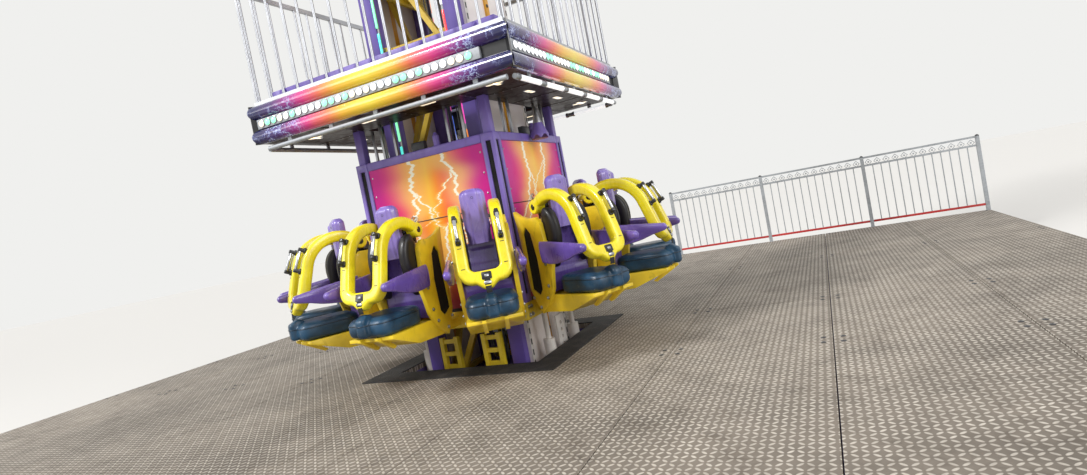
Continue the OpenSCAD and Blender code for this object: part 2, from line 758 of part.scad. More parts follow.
// A cushion with a rounded front edge, narrower between the side plates, and a pommel block on its front
module seat_cushions() {
    r = cushion_t / 2;
    pr = 30;
    wide_x = cushion_x0 + 90;
    rear_w = min(cushion_w, back_w - 10);
    px = cushion_x1 + pommel_out;
    ph = pommel_top - cushion_low;
    color("#1b4a66") at_seats() translate([0, 0, seat_z]) {
        block([cushion_x0, -rear_w / 2, 0], [wide_x + 1, rear_w / 2, cushion_t]);
        block([wide_x, -cushion_w / 2, 0], [cushion_x1 - r, cushion_w / 2, cushion_t]);
        translate([cushion_x1 - r, 0, r]) rotate([90, 0, 0]) cylinder(r = r, h = cushion_w, center = true);
        block([cushion_x1 - r - pr, -pommel_w / 2, 10], [px, pommel_w / 2, ph - pr]);
        block([cushion_x1 - r, -pommel_w / 2, ph - pr - 1], [px - pr, pommel_w / 2, ph]);
        for (x = [cushion_x1 - r, px - pr])
            translate([x, 0, ph - pr]) rotate([90, 0, 0]) cylinder(r = pr, h = pommel_w, center = true);
    }
}

// A wedge with a rounded tip, outside each side plate
module seat_armrests() {
    y0 = back_w / 2 + side_t + touch;
    tip = [arm_x0 + arm_l - arm_tip, arm_top - 55 - arm_tip];
    color("#7e66bd") at_seats() mirrored_y() translate([0, y0 + arm_t, deck_top]) rotate([90, 0, 0]) linear_extrude(arm_t)
        polygon(concat([[arm_x0, arm_top]], arc(tip, arm_tip, 82, -70),
            [[arm_x0 + 300, arm_top - 172], [arm_x0 + 150, arm_top - 192], [arm_x0, arm_top - 180]]));
}

module headrests() {
    r = 40;
    color("#9a86d6") at_seats() translate([head_r - head_t, 0, deck_top]) {
        block([0, -head_w / 2, head_low], [head_t, head_w / 2, head_top - r]);
        block([0, -head_w / 2 + r, head_top - r], [head_t, head_w / 2 - r, head_top]);
        for (s = [-1, 1]) translate([0, s * (head_w / 2 - r), head_top - r]) rotate([0, 90, 0]) cylinder(r = r, h = head_t);
    }
}

module pivot_housings() {
    w = harness_w - 2 * harness_d - 16;
    color("#26272b") at_seats() translate([pivot_r, 0, pivot_top]) rotate([90, 0, 0]) {
        cylinder(d = housing_d, h = w, center = true);
        cylinder(d = pin_d, h = harness_w - 4, center = true);
        translate([-housing_back, -housing_drop, -w / 2 + 20]) cube([housing_back - 5, 100, w - 40]);
    }
}

// The outline of a U with round corners, its lap bar's middle at y = -low
module u_outline(outer, inner, low, high, tip) {
    r_out = lap_round;
    r_in = 45;
    wide = outer / 2 - r_out + 1;
    half = (outer - inner) / 4;
    difference() {
        union() {
            translate([-outer / 2, -low - half + r_out]) square([outer, low + half - r_out - high]);
            translate([-outer / 2 + r_out, -low - half]) square([outer - 2 * r_out, r_out + 1]);
            for (s = [-1, 1]) translate([s * (outer / 2 - r_out), -low - half + r_out]) circle(r = r_out);
            polygon([[-wide, -low - half + 1], [wide, -low - half + 1], [18, -low - half - tip], [-18, -low - half - tip]]);
        }
        translate([-inner / 2, -low + half + r_in]) square([inner, low]);
        translate([-inner / 2 + r_in, -low + half]) square([inner - 2 * r_in, r_in + 1]);
        for (s = [-1, 1]) translate([s * (inner / 2 - r_in), -low + half + r_in]) circle(r = r_in);
    }
}

// Points on an arc round c, from angle a0 to angle a1
function arc(c, r, a0, a1, n = 14) =
    [for (k = [0:n]) c + r * [cos(a0 + (a1 - a0) * k / n), sin(a0 + (a1 - a0) * k / n)]];

// One shoulder hook in side view: pivot eye, bend over the shoulder, upper part of the arm
module hook_outline(run) {
    out = [cos(tilt), sin(tilt)];
    down = run * [sin(tilt), -cos(tilt)];
    r0 = shoulder_r - harness_t / 2;
    r1 = shoulder_r + harness_t / 2;
    difference() {
        union() {
            polygon(concat(arc(bend, r1, bend_from, tilt), [bend + r1 * out + down, bend + r0 * out + down],
                arc(bend, r0, tilt, bend_from)));
            translate([pivot_r, pivot_top]) circle(d = harness_t + eye_wall);
        }
        translate([pivot_r, pivot_top]) circle(d = pin_d + 0.2);
    }
}

// An upright handle on two end mounts, standing off the arm's front
module grab_handle() {
    stand = 34;
    root = 16;
    for (z = [-handle_l / 2 + 12, handle_l / 2 - 12]) translate([-root, -11, z - 12]) cube([root + stand, 22, 24]);
    translate([stand, 0, -handle_l / 2]) cylinder(d = handle_d, h = handle_l, $fn = 24);
}

// The shoulder harness of seat i
module harness(i) {
    split = arm_run * 0.45;
    color("#e8cf1c") rotate([0, 0, i * 360 / seat_n]) {
        for (s = [-1, 1]) translate([0, s * arm_y, 0]) rotate([90, 0, 0])
            linear_extrude(harness_d, center = true) hook_outline(split + lap_over);
        translate([bend[0], 0, bend[1]]) rotate([0, -tilt, 0]) translate([shoulder_r, 0, 0]) {
            translate([-harness_t / 2 + lap_step, 0, 0]) rotate([90, 0, 90]) linear_extrude(harness_t - 2 * lap_step)
                u_outline(harness_w - 2 * lap_step, harness_w - 2 * harness_d + 2 * lap_step, arm_run, split, lap_tip);
        }
        for (s = [-1, 1]) translate([bend[0], s * arm_y, bend[1]]) rotate([0, -handle_at, 0])
            translate([shoulder_r + harness_t / 2, 0, 0]) grab_handle();
    }
}

base_frame();
levelling_jacks();
deck_front();
deck_back();
deck_left();
deck_right();
deck_mats();
exit_fence();
deck_steps();
tower_rails();
lattice_front();
lattice_back();
lattice_left();
lattice_right();
side_panels_front();
side_panels_rear();
side_strips();
light_tubes();
fold_hinge();
erection_ram();
tower_ladder();
lift_cables();
tower_head();
head_sheaves();
landing_buffers();
base_brackets();
carrier_ring();
carrier_posts();
carrier_top_rails();
art_panels();
guide_rollers();
canopy_posts();
canopy_frame();
canopy_soffit();
fascia_sheets();
fascia_bands();
canopy_pipes();
canopy_cage();
bell_hoods();
seat_frames();
seat_backs();
seat_cushions();
seat_armrests();
headrests();
pivot_housings();
harness(0);  // harness_01
harness(1);  // harness_02
harness(2);  // harness_03
harness(3);  // harness_04
harness(4);  // harness_05
harness(5);  // harness_06
harness(6);  // harness_07
harness(7);  // harness_08
harness(8);  // harness_09
harness(9);  // harness_10
harness(10);  // harness_11
harness(11);  // harness_12
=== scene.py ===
"""Looks of the drop tower ride: finishes, moulded seats, harnesses, lamps, picture panels and small fittings.

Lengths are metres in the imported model's frame: +Z is up, the tower stands on the Z axis and the deck's front
faces -Y. A seat is modelled once on the +X side and turned to its places round the carrier.
"""

import logging
import math
from dataclasses import dataclass, field
from enum import Enum
from random import Random
from typing import Callable, Iterable, Sequence

import bmesh
import bpy
from mathutils import Matrix, Vector


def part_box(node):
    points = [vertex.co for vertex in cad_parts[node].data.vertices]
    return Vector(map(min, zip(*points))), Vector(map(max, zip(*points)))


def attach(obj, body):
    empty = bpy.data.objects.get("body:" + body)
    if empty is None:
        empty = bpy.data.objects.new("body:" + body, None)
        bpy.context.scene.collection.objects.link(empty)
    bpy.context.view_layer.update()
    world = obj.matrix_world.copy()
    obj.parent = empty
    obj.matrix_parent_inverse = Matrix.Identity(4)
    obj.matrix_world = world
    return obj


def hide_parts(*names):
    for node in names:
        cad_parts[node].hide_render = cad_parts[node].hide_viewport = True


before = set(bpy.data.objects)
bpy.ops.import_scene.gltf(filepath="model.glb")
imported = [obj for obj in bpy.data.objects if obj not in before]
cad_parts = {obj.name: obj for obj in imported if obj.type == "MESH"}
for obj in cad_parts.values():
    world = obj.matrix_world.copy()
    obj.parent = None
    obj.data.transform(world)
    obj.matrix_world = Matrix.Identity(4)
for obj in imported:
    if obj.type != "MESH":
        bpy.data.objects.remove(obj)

log = logging.getLogger("drop_tower")

Point = Sequence[float]
Colour = tuple[float, float, float]
Socket = bpy.types.NodeSocket

SEATS = 12
UP = Vector((0.0, 0.0, 1.0))
SQUARE = ((1, 1), (-1, 1), (-1, -1), (1, -1))
CREASE = 38.0
MERGE = 1e-5
NEAR_NOTHING = 1e-6
SHARPEST_TURN = 0.35


class Face(Enum):
    """The four sides of the square tower, carrier and canopy, as turns about Z from the front."""

    FRONT = 0
    RIGHT = 90
    BACK = 180
    LEFT = 270

    @property
    def turn(self) -> Matrix:
        """The turn that brings a piece modelled on the front to this side."""
        return Matrix.Rotation(math.radians(self.value), 4, "Z")


class Glow(Enum):
    """The colours of the lamps."""

    WARM = (255, 238, 205)
    WHITE = (250, 252, 255)
    GREEN = (140, 255, 190)
    TEAL = (90, 235, 220)
    BLUE = (90, 130, 255)
    PINK = (255, 90, 190)
    ORANGE = (255, 150, 60)
    RED = (255, 70, 70)
    YELLOW = (255, 220, 80)


def linear(colour: Colour) -> tuple[float, float, float, float]:
    """Turns a colour of 0 to 255 a channel, as seen on a screen, into Blender's linear one.

    Args:
        colour: Red, green and blue, each from 0 to 255.

    Returns:
        The linear colour with full opacity.
    """
    parts = []
    for value in colour:
        share = value / 255
        parts.append(share / 12.92 if share <= 0.04045 else ((share + 0.055) / 1.055) ** 2.4)
    return (parts[0], parts[1], parts[2], 1.0)


def shade(colour: Colour, amount: float) -> Colour:
    """A colour made darker, below 1, or lighter, above 1."""
    return tuple(min(255.0, value * amount) for value in colour)


def ease(value: float, low: float, high: float) -> float:
    """A smooth step from 0 at low to 1 at high."""
    share = min(max((value - low) / (high - low), 0.0), 1.0)
    return share * share * (3 - 2 * share)


def power(value: float, exponent: float) -> float:
    """A power that keeps the sign, which squares off an ellipse when the exponent is below 1."""
    return math.copysign(abs(value) ** exponent, value)


def arc(centre: Point, radius: float, start: float, stop: float, steps: int) -> list[tuple[float, float]]:
    """Points on a flat arc.

    Args:
        centre: The arc's centre.
        radius: Its radius.
        start: The first angle in degrees.
        stop: The last angle in degrees.
        steps: How many stretches the arc is cut into.

    Returns:
        The points, first to last.
    """
    angles = [math.radians(start + (stop - start) * k / steps) for k in range(steps + 1)]
    return [(centre[0] + radius * math.cos(a), centre[1] + radius * math.sin(a)) for a in angles]


def rounded(width: float, height: float, radius: float, steps: int = 5) -> list[tuple[float, float]]:
    """The outline of a rectangle with round corners, centred on the origin.

    Args:
        width: Its size along the first axis.
        height: Its size along the second axis.
        radius: The corners' radius.
        steps: How many stretches each corner is cut into.

    Returns:
        The outline's points.
    """
    w, h = width / 2 - radius, height / 2 - radius
    return [p for k, (x, y) in enumerate(SQUARE) for p in arc((x * w, y * h), radius, 90 * k, 90 * k + 90, steps)]


def turns(count: int) -> list[float]:
    """Even angles all the way round, in radians."""
    return [2 * math.pi * k / count for k in range(count)]


def corners(points: Sequence[Vector]) -> tuple[Vector, Vector]:
    """The lowest and the highest corner of the box round some points."""
    return tuple(Vector([pick(p[i] for p in points) for i in range(3)]) for pick in (min, max))


def cut_corners(x: float, high: float, low: float, cut: float, z: float) -> list[Point]:
    """The back edge of a level section, with its two corners cut.

    Args:
        x: Where the back edge lies.
        high: Its end on the +Y side.
        low: Its end on the -Y side.
        cut: How much is cut off each corner.
        z: The section's height.

    Returns:
        Four points, from the +Y side to the -Y side.
    """
    return [(x + cut, high, z), (x, high - cut, z), (x, low + cut, z), (x + cut, low, z)]


def basis(origin: Point, x_axis: Point, y_axis: Point) -> Matrix:
    """A place given by its origin and two of its axes.

    Args:
        origin: The origin.
        x_axis: The way of its X axis.
        y_axis: The way of its Y axis, at a right angle to the first.

    Returns:
        The place.
    """
    x, y = Vector(x_axis).normalized(), Vector(y_axis).normalized()
    turn = Matrix((x, y, x.cross(y))).transposed().to_4x4()
    return Matrix.Translation(Vector(origin)) @ turn


def upright(x: float, y: float, z: float) -> Matrix:
    """A place on a wall that faces the front: its Z axis points outwards and its Y axis up."""
    return basis((x, y, z), (1, 0, 0), (0, 0, 1))


def flank(side: int, x: float, y: float, z: float) -> Matrix:
    """The same on a wall that faces -X or +X, at the distance x on that side."""
    return basis((side * x, y, z), (0, side, 0), (0, 0, 1))


def seat_turns() -> list[Matrix]:
    """The turns that bring the seat on the +X side to each of its places."""
    return [Matrix.Rotation(2 * math.pi * k / SEATS, 4, "Z") for k in range(SEATS)]


def sector_box(node: str, reach: float = 0.6) -> tuple[Vector, Vector]:
    """The box of the part of a node that belongs to the seat on the +X side.

    Args:
        node: The node's name.
        reach: How far from the axis its points start.

    Returns:
        The lowest and the highest corner.
    """
    half = math.pi / SEATS
    points = [v.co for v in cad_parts[node].data.vertices]
    return corners([p for p in points if p.x > reach and abs(math.atan2(p.y, p.x)) < half])


def curve(points: Sequence[Point], steps: int) -> list[tuple[float, ...]]:
    """Runs a smooth curve through points of any number of values.

    Args:
        points: The points to pass through.
        steps: How many pieces each span is cut into.

    Returns:
        The curve's points, the given ones among them.
    """
    padded = [points[0], *points, points[-1]]
    made = []
    for a, b, c, d in zip(padded, padded[1:], padded[2:], padded[3:]):
        for k in range(steps):
            t = k / steps
            made.append(tuple(0.5 * (2 * q + (r - p) * t + (2 * p - 5 * q + 4 * r - w) * t ** 2
                                     + (3 * q - p - 3 * r + w) * t ** 3) for p, q, r, w in zip(a, b, c, d)))
    return made + [tuple(points[-1])]


class Value:
    """A number or a colour that a material works out, with the signs of arithmetic for its steps."""

    def __init__(self, surface: "Surface", socket: Socket) -> None:
        """Keeps the material and the socket that gives the value."""
        self.surface = surface
        self.socket = socket

    def step(self, how: str, other: "Value | float" = 0.0) -> "Value":
        """One step of arithmetic by its node's name, such as FLOOR or MAXIMUM."""
        return self.surface.maths(how, self, other)

    def __add__(self, other: "Value | float") -> "Value":
        """This value and the other one."""
        return self.step("ADD", other)

    def __sub__(self, other: "Value | float") -> "Value":
        """This value less the other one."""
        return self.step("SUBTRACT", other)

    def __rsub__(self, other: float) -> "Value":
        """A number less this value."""
        return self.surface.maths("SUBTRACT", other, self)

    def __mul__(self, other: "Value | float") -> "Value":
        """This value times the other one."""
        return self.step("MULTIPLY", other)

    def __truediv__(self, other: "Value | float") -> "Value":
        """This value over the other one."""
        return self.step("DIVIDE", other)

    def __pow__(self, other: float) -> "Value":
        """This value to a power."""
        return self.step("POWER", other)

    def __abs__(self) -> "Value":
        """This value without its sign."""
        return self.step("ABSOLUTE")

    def level(self, low: float, high: float, out_low: float = 0, out_high: float = 1) -> "Value":
        """Brings the value from low..high to out_low..out_high, smoothly and held at both ends.

        Args:
            low: The value that becomes out_low.
            high: The value that becomes out_high.
            out_low: The result at and below low.
            out_high: The result at and above high.

        Returns:
            The result.
        """
        node = self.surface.add("ShaderNodeMapRange", interpolation_type="SMOOTHSTEP")
        for key, value in zip(("Value", "From Min", "From Max", "To Min", "To Max"),
                              (self, low, high, out_low, out_high)):
            self.surface.feed(node.inputs[key], value)
        return Value(self.surface, node.outputs[0])


class Surface:
    """A material in the making, with short names for the nodes that the finishes use."""

    def __init__(self, name: str) -> None:
        """Starts an empty material.

        Args:
            name: The material's name.
        """
        self.material = bpy.data.materials.new(name)
        self.material.use_nodes = True
        self.tree = self.material.node_tree
        self.shader = self.tree.nodes["Principled BSDF"]
        self.place = Value(self, self.add("ShaderNodeTexCoord").outputs["Object"])

    def add(self, kind: str, **settings: object) -> bpy.types.Node:
        """Adds a node and sets its options.

        Args:
            kind: The node's type.
            settings: Its options by name.

        Returns:
            The node.
        """
        node = self.tree.nodes.new(kind)
        for key, value in settings.items():
            setattr(node, key, value)
        return node

    def feed(self, target: Socket, value: object) -> None:
        """Links a value into a target, or sets the target to a constant.

        Args:
            target: The input.
            value: A worked-out value, a colour of three channels for a colour input, or a constant.
        """
        if isinstance(value, Value):
            self.tree.links.new(value.socket, target)
        elif target.type == "RGBA":
            target.default_value = linear(value)
        else:
            target.default_value = value

    def run(self, node: bpy.types.Node, out: int | str = 0, **values: object) -> Value:
        """Feeds a node's inputs by name and takes one of its outputs.

        Args:
            node: The node.
            out: The output.
            values: What goes into each input.

        Returns:
            The output's value.
        """
        for key, value in values.items():
            self.feed(node.inputs[key], value)
        return Value(self, node.outputs[out])

    def shift(self, scale: Point = (1, 1, 1), move: Point = (0, 0, 0), turn: Point = (0, 0, 0)) -> Value:
        """The object's coordinates, stretched, moved and turned."""
        return self.run(self.add("ShaderNodeMapping"), Vector=self.place, Scale=scale, Location=move, Rotation=turn)

    def noise(self, scale: float, detail: float = 3, rough: float = 0.55, bend: float = 0,
              place: Value | None = None) -> Value:
        """Cloudy noise.

        Args:
            scale: How fine it is.
            detail: How many finer layers it has.
            rough: How strong the finer layers are.
            bend: How far it is twisted.
            place: The coordinates that it reads, or None for the object's own.

        Returns:
            The noise, from 0 to 1.
        """
        return self.run(self.add("ShaderNodeTexNoise"), Vector=place or self.place, Scale=scale, Detail=detail,
                        Roughness=rough, Distortion=bend)

    def cells(self, scale: float, edges: bool = False) -> Value:
        """The distance inside random cells, from their points or from their edges."""
        node = self.add("ShaderNodeTexVoronoi", feature="DISTANCE_TO_EDGE" if edges else "F1")
        return self.run(node, "Distance", Vector=self.place, Scale=scale)

    def axes(self, place: Value | None = None) -> tuple[Value, Value, Value]:
        """The three coordinates by themselves."""
        node = self.add("ShaderNodeSeparateXYZ")
        return tuple(self.run(node, out, Vector=place or self.place) for out in range(3))

    def maths(self, how: str, first: Value | float, second: Value | float = 0.0) -> Value:
        """One step of arithmetic.

        Args:
            how: The step's name on the node.
            first: The first number.
            second: The second number.

        Returns:
            The result.
        """
        node = self.add("ShaderNodeMath", operation=how)
        self.feed(node.inputs[0], first)
        self.feed(node.inputs[1], second)
        return Value(self, node.outputs[0])

    def mix(self, share: Value, first: Value | Colour, second: Value | Colour) -> Value:
        """Mixes two colours.

        Args:
            share: How much of the second colour shows, from 0 to 1.
            first: The colour at 0.
            second: The colour at 1.

        Returns:
            The mixed colour.
        """
        node = self.add("ShaderNodeMix", data_type="RGBA")
        factor, from_colour, to_colour, result = 0, 6, 7, 2
        for socket, value in ((factor, share), (from_colour, first), (to_colour, second)):
            self.feed(node.inputs[socket], value)
        return Value(self, node.outputs[result])

    def mottle(self, cloud: Value, colour: Colour, low: float, high: float, dark: float, pale: float) -> Value:
        """A colour that drifts between a darker and a paler shade of itself, as the cloud goes from low to high."""
        return self.mix(cloud.level(low, high), shade(colour, dark), shade(colour, pale))

    def ramp(self, source: Value, stops: Sequence[tuple[float, Colour]]) -> Value:
        """Colours a value by a row of stops.

        Args:
            source: The value.
            stops: Where each colour lies, and the colour.

        Returns:
            The colour.
        """
        node = self.add("ShaderNodeValToRGB")
        points = node.color_ramp.elements
        while len(points) < len(stops):
            points.new(1.0)
        for point, (where, colour) in zip(points, stops):
            point.position = where
            point.color = linear(colour)
        self.feed(node.inputs[0], source)
        return Value(self, node.outputs[0])

    def bump(self, height: Value, depth: float, strength: float = 1.0, below: Value | None = None) -> Value:
        """A relief in the surface.

        Args:
            height: How high each place is, from 0 to 1.
            depth: What a height of 1 is in metres.
            strength: The share of the relief that shows; below 0 it is sunk.
            below: Another relief that it lies on.

        Returns:
            The way that the surface faces.
        """
        lower = {} if below is None else {"Normal": below}
        return self.run(self.add("ShaderNodeBump"), Height=height, Distance=depth, Strength=strength, **lower)

    def finish(self, colour: Value | Colour, rough: Value | float, normal: Value | None = None,
               **fixed: object) -> None:
        """Joins colour, roughness and relief to the shader, and sets its constants.

        Args:
            colour: The base colour.
            rough: The roughness.
            normal: The relief.
            fixed: The shader's constants, with underscores for the spaces in their names.
        """
        self.run(self.shader, **{"Base Color": colour, "Roughness": rough})
        if normal is not None:
            self.run(self.shader, Normal=normal)
        for key, value in fixed.items():
            self.feed(self.shader.inputs[key.replace("_", " ")], value)


@dataclass(frozen=True)
class Finish:
    """What a surface is made of and how it has aged."""

    name: str

    def lay(self, surface: Surface) -> None:
        """Builds the finish's nodes in a material in the making."""
        raise NotImplementedError

    def material(self) -> bpy.types.Material:
        """The finish's material, built once, under a name that no record slot has.

        Returns:
            The material.
        """
        label = self.name + "_finish"
        made = bpy.data.materials.get(label)
        if made is None:
            surface = Surface(label)
            self.lay(surface)
            made = surface.material
        return made


@dataclass(frozen=True)
class Enamel(Finish):
    """Sprayed enamel on steel, with dust in streaks and chips down to the primer."""

    colour: Colour = (128, 128, 128)
    rough: float = 0.36
    worn: float = 0.25
    dust: Colour = (92, 80, 70)
    primer: Colour = (92, 88, 84)

    def lay(self, surface: Surface) -> None:
        """Builds the enamel's nodes.

        Args:
            surface: The material in the making.
        """
        colour = surface.mottle(surface.noise(1.9, 4), self.colour, 0.3, 0.7, 0.88, 1.05)
        streaks = surface.noise(2.4, 5, 0.6, 0.4, surface.shift((7, 7, 0.7)))
        colour = surface.mix(streaks.level(0.52, 0.78) * self.worn, colour, self.dust)
        chips = surface.noise(46, 6, 0.7).level(0.665, 0.69) * surface.noise(3.1, 2).level(0.5, 0.62)
        chips = chips * min(1.0, self.worn * 2.2)
        colour = surface.mix(chips, colour, self.primer)
        rough = streaks.level(0.35, 0.75, self.rough, min(0.9, self.rough + 0.28))
        peel = surface.bump(surface.noise(140, 2), 0.0004, 0.35)
        normal = surface.bump(chips, 0.0006, -0.6, peel)
        surface.finish(colour, rough, normal, Coat_Weight=0.15, Coat_Roughness=0.2)


@dataclass(frozen=True)
class Moulding(Finish):
    """Moulded plastic or glass fibre, with soft waves, scuffs and a little grime."""

    colour: Colour = (128, 128, 128)
    rough: float = 0.24
    coat: float = 0.6
    scuffs: float = 0.35
    waves: float = 0.25
    shine: float = 0.5

    def lay(self, surface: Surface) -> None:
        """Builds the moulding's nodes.

        Args:
            surface: The material in the making.
        """
        colour = surface.mottle(surface.noise(3.4, 3), self.colour, 0.3, 0.7, 0.9, 1.06)
        rub = surface.noise(9, 6, 0.7, 0.8, surface.shift((1, 1, 0.35)))
        colour = surface.mix(rub.level(0.56, 0.74) * self.scuffs, colour, shade(self.colour, 0.62))
        lines = surface.noise(22, 5, 0.75, 0.2, surface.shift((1, 6, 14), (2, 1, 0), (0.4, 0.9, 0.2)))
        colour = surface.mix(lines.level(0.66, 0.7) * self.scuffs, colour, shade(self.colour, 1.35))
        rough = rub.level(0.4, 0.8, self.rough, self.rough + 0.3)
        wave = surface.bump(surface.noise(14, 2), 0.002, self.waves)
        normal = surface.bump(surface.noise(320, 2), 0.0002, self.waves, wave)
        surface.finish(colour, rough, normal, Coat_Weight=self.coat, Coat_Roughness=0.09,
                       Specular_IOR_Level=self.shine)


@dataclass(frozen=True)
class Vinyl(Finish):
    """Grained upholstery vinyl, shiny where it is sat on."""

    colour: Colour = (30, 78, 108)
    scuff: Colour = (112, 132, 142)

    def lay(self, surface: Surface) -> None:
        """Builds the vinyl's nodes.

        Args:
            surface: The material in the making.
        """
        broad = surface.noise(6, 4)
        colour = surface.mottle(broad, self.colour, 0.32, 0.68, 0.74, 1.16)
        colour = surface.mix(surface.noise(34, 6, 0.7, 0.6).level(0.6, 0.72, 0, 0.35), colour, self.scuff)
        grain = surface.bump(surface.cells(210, True), 0.0005, 0.55)
        creases = surface.noise(11, 4, 0.6, 1.6, surface.shift((1, 1, 2.2)))
        normal = surface.bump(creases, 0.004, 0.3, grain)
        surface.finish(colour, broad.level(0.3, 0.7, 0.3, 0.46), normal, Coat_Weight=0.12, Coat_Roughness=0.3)


@dataclass(frozen=True)
class Paper(Finish):
    """Plain matt paper, for the studio's floor."""

    colour: Colour = (226, 224, 220)

    def lay(self, surface: Surface) -> None:
        """Builds the paper's nodes."""
        surface.finish(self.colour, 0.9, None, Specular_IOR_Level=0.1)


@dataclass(frozen=True)
class TreadPlate(Finish):
    """Worn floor plate with raised lozenges that lie crosswise in turn."""

    colour: Colour = (136, 127, 116)
    dirt: Colour = (84, 75, 66)
    worn: Colour = (217, 209, 196)
    pitch: float = 0.043
    long: float = 0.78
    wide: float = 0.32

    def lozenges(self, surface: Surface) -> Value:
        """The tops of the lozenges, 1 on them and 0 between.

        Args:
            surface: The material in the making.

        Returns:
            The tops.
        """
        x, y, _ = surface.axes(surface.shift((1 / self.pitch, 1 / self.pitch, 1 / self.pitch)))
        odd = abs((x.step("FLOOR") + y.step("FLOOR")).step("MODULO", 2.0))
        u, v = (value.step("FRACT") - 0.5 for value in (x, y))
        along, across = u + v, u - v
        swing = (along - across) * odd
        far = ((along - swing) / self.long) ** 2.0 + ((across + swing) / self.wide) ** 2.0
        return far.level(0.35, 1.0, 1, 0)

    def lay(self, surface: Surface) -> None:
        """Builds the plate's nodes.

        Args:
            surface: The material in the making.
        """
        tops = self.lozenges(surface)
        broad, dirt = surface.noise(0.9, 6, 0.65), surface.noise(5.5, 6, 0.7, 0.5)
        colour = surface.mottle(broad, self.colour, 0.35, 0.65, 0.8, 1.0)
        colour = surface.mix(dirt.level(0.5, 0.72, 0, 0.5), colour, self.dirt)
        bright = tops * dirt.level(0.3, 0.62, 0.95, 0.5) * broad.level(0.3, 0.7, 0.8, 1.0)
        colour = surface.mix(bright, colour, self.worn)
        grit = surface.bump(surface.noise(260, 3), 0.0004, 0.3)
        normal = surface.bump(tops, 0.0022, 0.7, grit)
        surface.finish(colour, tops.level(0, 1, 0.72, 0.5), normal, Specular_IOR_Level=0.28)


@dataclass(frozen=True)
class Rubber(Finish):
    """Black ribbed rubber, greyed by shoes."""

    colour: Colour = (34, 34, 36)
    pitch: float = 0.012
    dust: Colour = (96, 92, 88)

    def lay(self, surface: Surface) -> None:
        """Builds the rubber's nodes.

        Args:
            surface: The material in the making.
        """
        x, _, _ = surface.axes()
        ribs = (x * (2 * math.pi / self.pitch)).step("SINE")
        colour = surface.mix(surface.noise(7, 6, 0.7).level(0.45, 0.75, 0, 0.5), self.colour, self.dust)
        grit = surface.bump(surface.noise(300, 2), 0.0003, 0.5)
        surface.finish(colour, 0.72, surface.bump(ribs, 0.0012, 0.6, grit))


@dataclass(frozen=True)
class Metal(Finish):
    """Bare or plated metal: zinc shows its crystals, and chrome and steel their fine brushing."""

    colour: Colour = (190, 194, 198)
    rough: float = 0.3
    crystals: float = 0.0
    metallic: float = 1.0
    grain: float = 0.3
    stain: Colour = (110, 100, 88)

    def lay(self, surface: Surface) -> None:
        """Builds the metal's nodes.

        Args:
            surface: The material in the making.
        """
        mottled = surface.cells(38) * self.crystals + surface.noise(4, 4)
        colour = surface.mottle(mottled, self.colour, 0.3, 0.95, 0.82, 1.0)
        stain = surface.noise(13, 6, 0.7, 0.3, surface.shift((1, 1, 0.4)))
        colour = surface.mix(stain.level(0.62, 0.8, 0, 0.35), colour, self.stain)
        rough = mottled.level(0.2, 1.0, self.rough, min(0.8, self.rough * 1.6))
        normal = surface.bump(surface.noise(180, 3), 0.0002, self.grain)
        surface.finish(colour, rough, normal, Metallic=self.metallic)


@dataclass(frozen=True)
class PanelSkin(Finish):
    """White glossy sheet with dark joints at even heights."""

    colour: Colour = (238, 229, 224)
    beside_joints: Colour = (150, 138, 128)
    rain: Colour = (186, 172, 160)
    joint: Colour = (40, 36, 36)
    pitch: float = 1.069
    start: float = 0.2

    def lay(self, surface: Surface) -> None:
        """Builds the sheet's nodes.

        Args:
            surface: The material in the making.
        """
        _, _, z = surface.axes()
        off = abs(((z - self.start) / self.pitch).step("FRACT") - 0.5)
        joint = off.level(0.4955, 0.4975)
        rain = surface.noise(3, 5, 0.6, 0.2, surface.shift((9, 9, 0.5)))
        # Darker beside each joint, more so where the rain streaks run.
        colour = surface.mix(off.level(0.44, 0.5, 0, 0.3) * rain, self.colour, self.beside_joints)
        colour = surface.mix(rain.level(0.55, 0.8, 0, 0.3), colour, self.rain)
        colour = surface.mix(joint, colour, self.joint)
        normal = surface.bump(joint, 0.003, -0.8, surface.bump(surface.noise(3, 2), 0.006, 0.15))
        surface.finish(colour, rain.level(0.3, 0.8, 0.14, 0.34), normal, Coat_Weight=0.5)


@dataclass(frozen=True)
class Fork:
    """A branch that leaves a stroke at one height, leans away from it and dies out at another."""

    start: float
    foot: float
    lean: float
    share: float


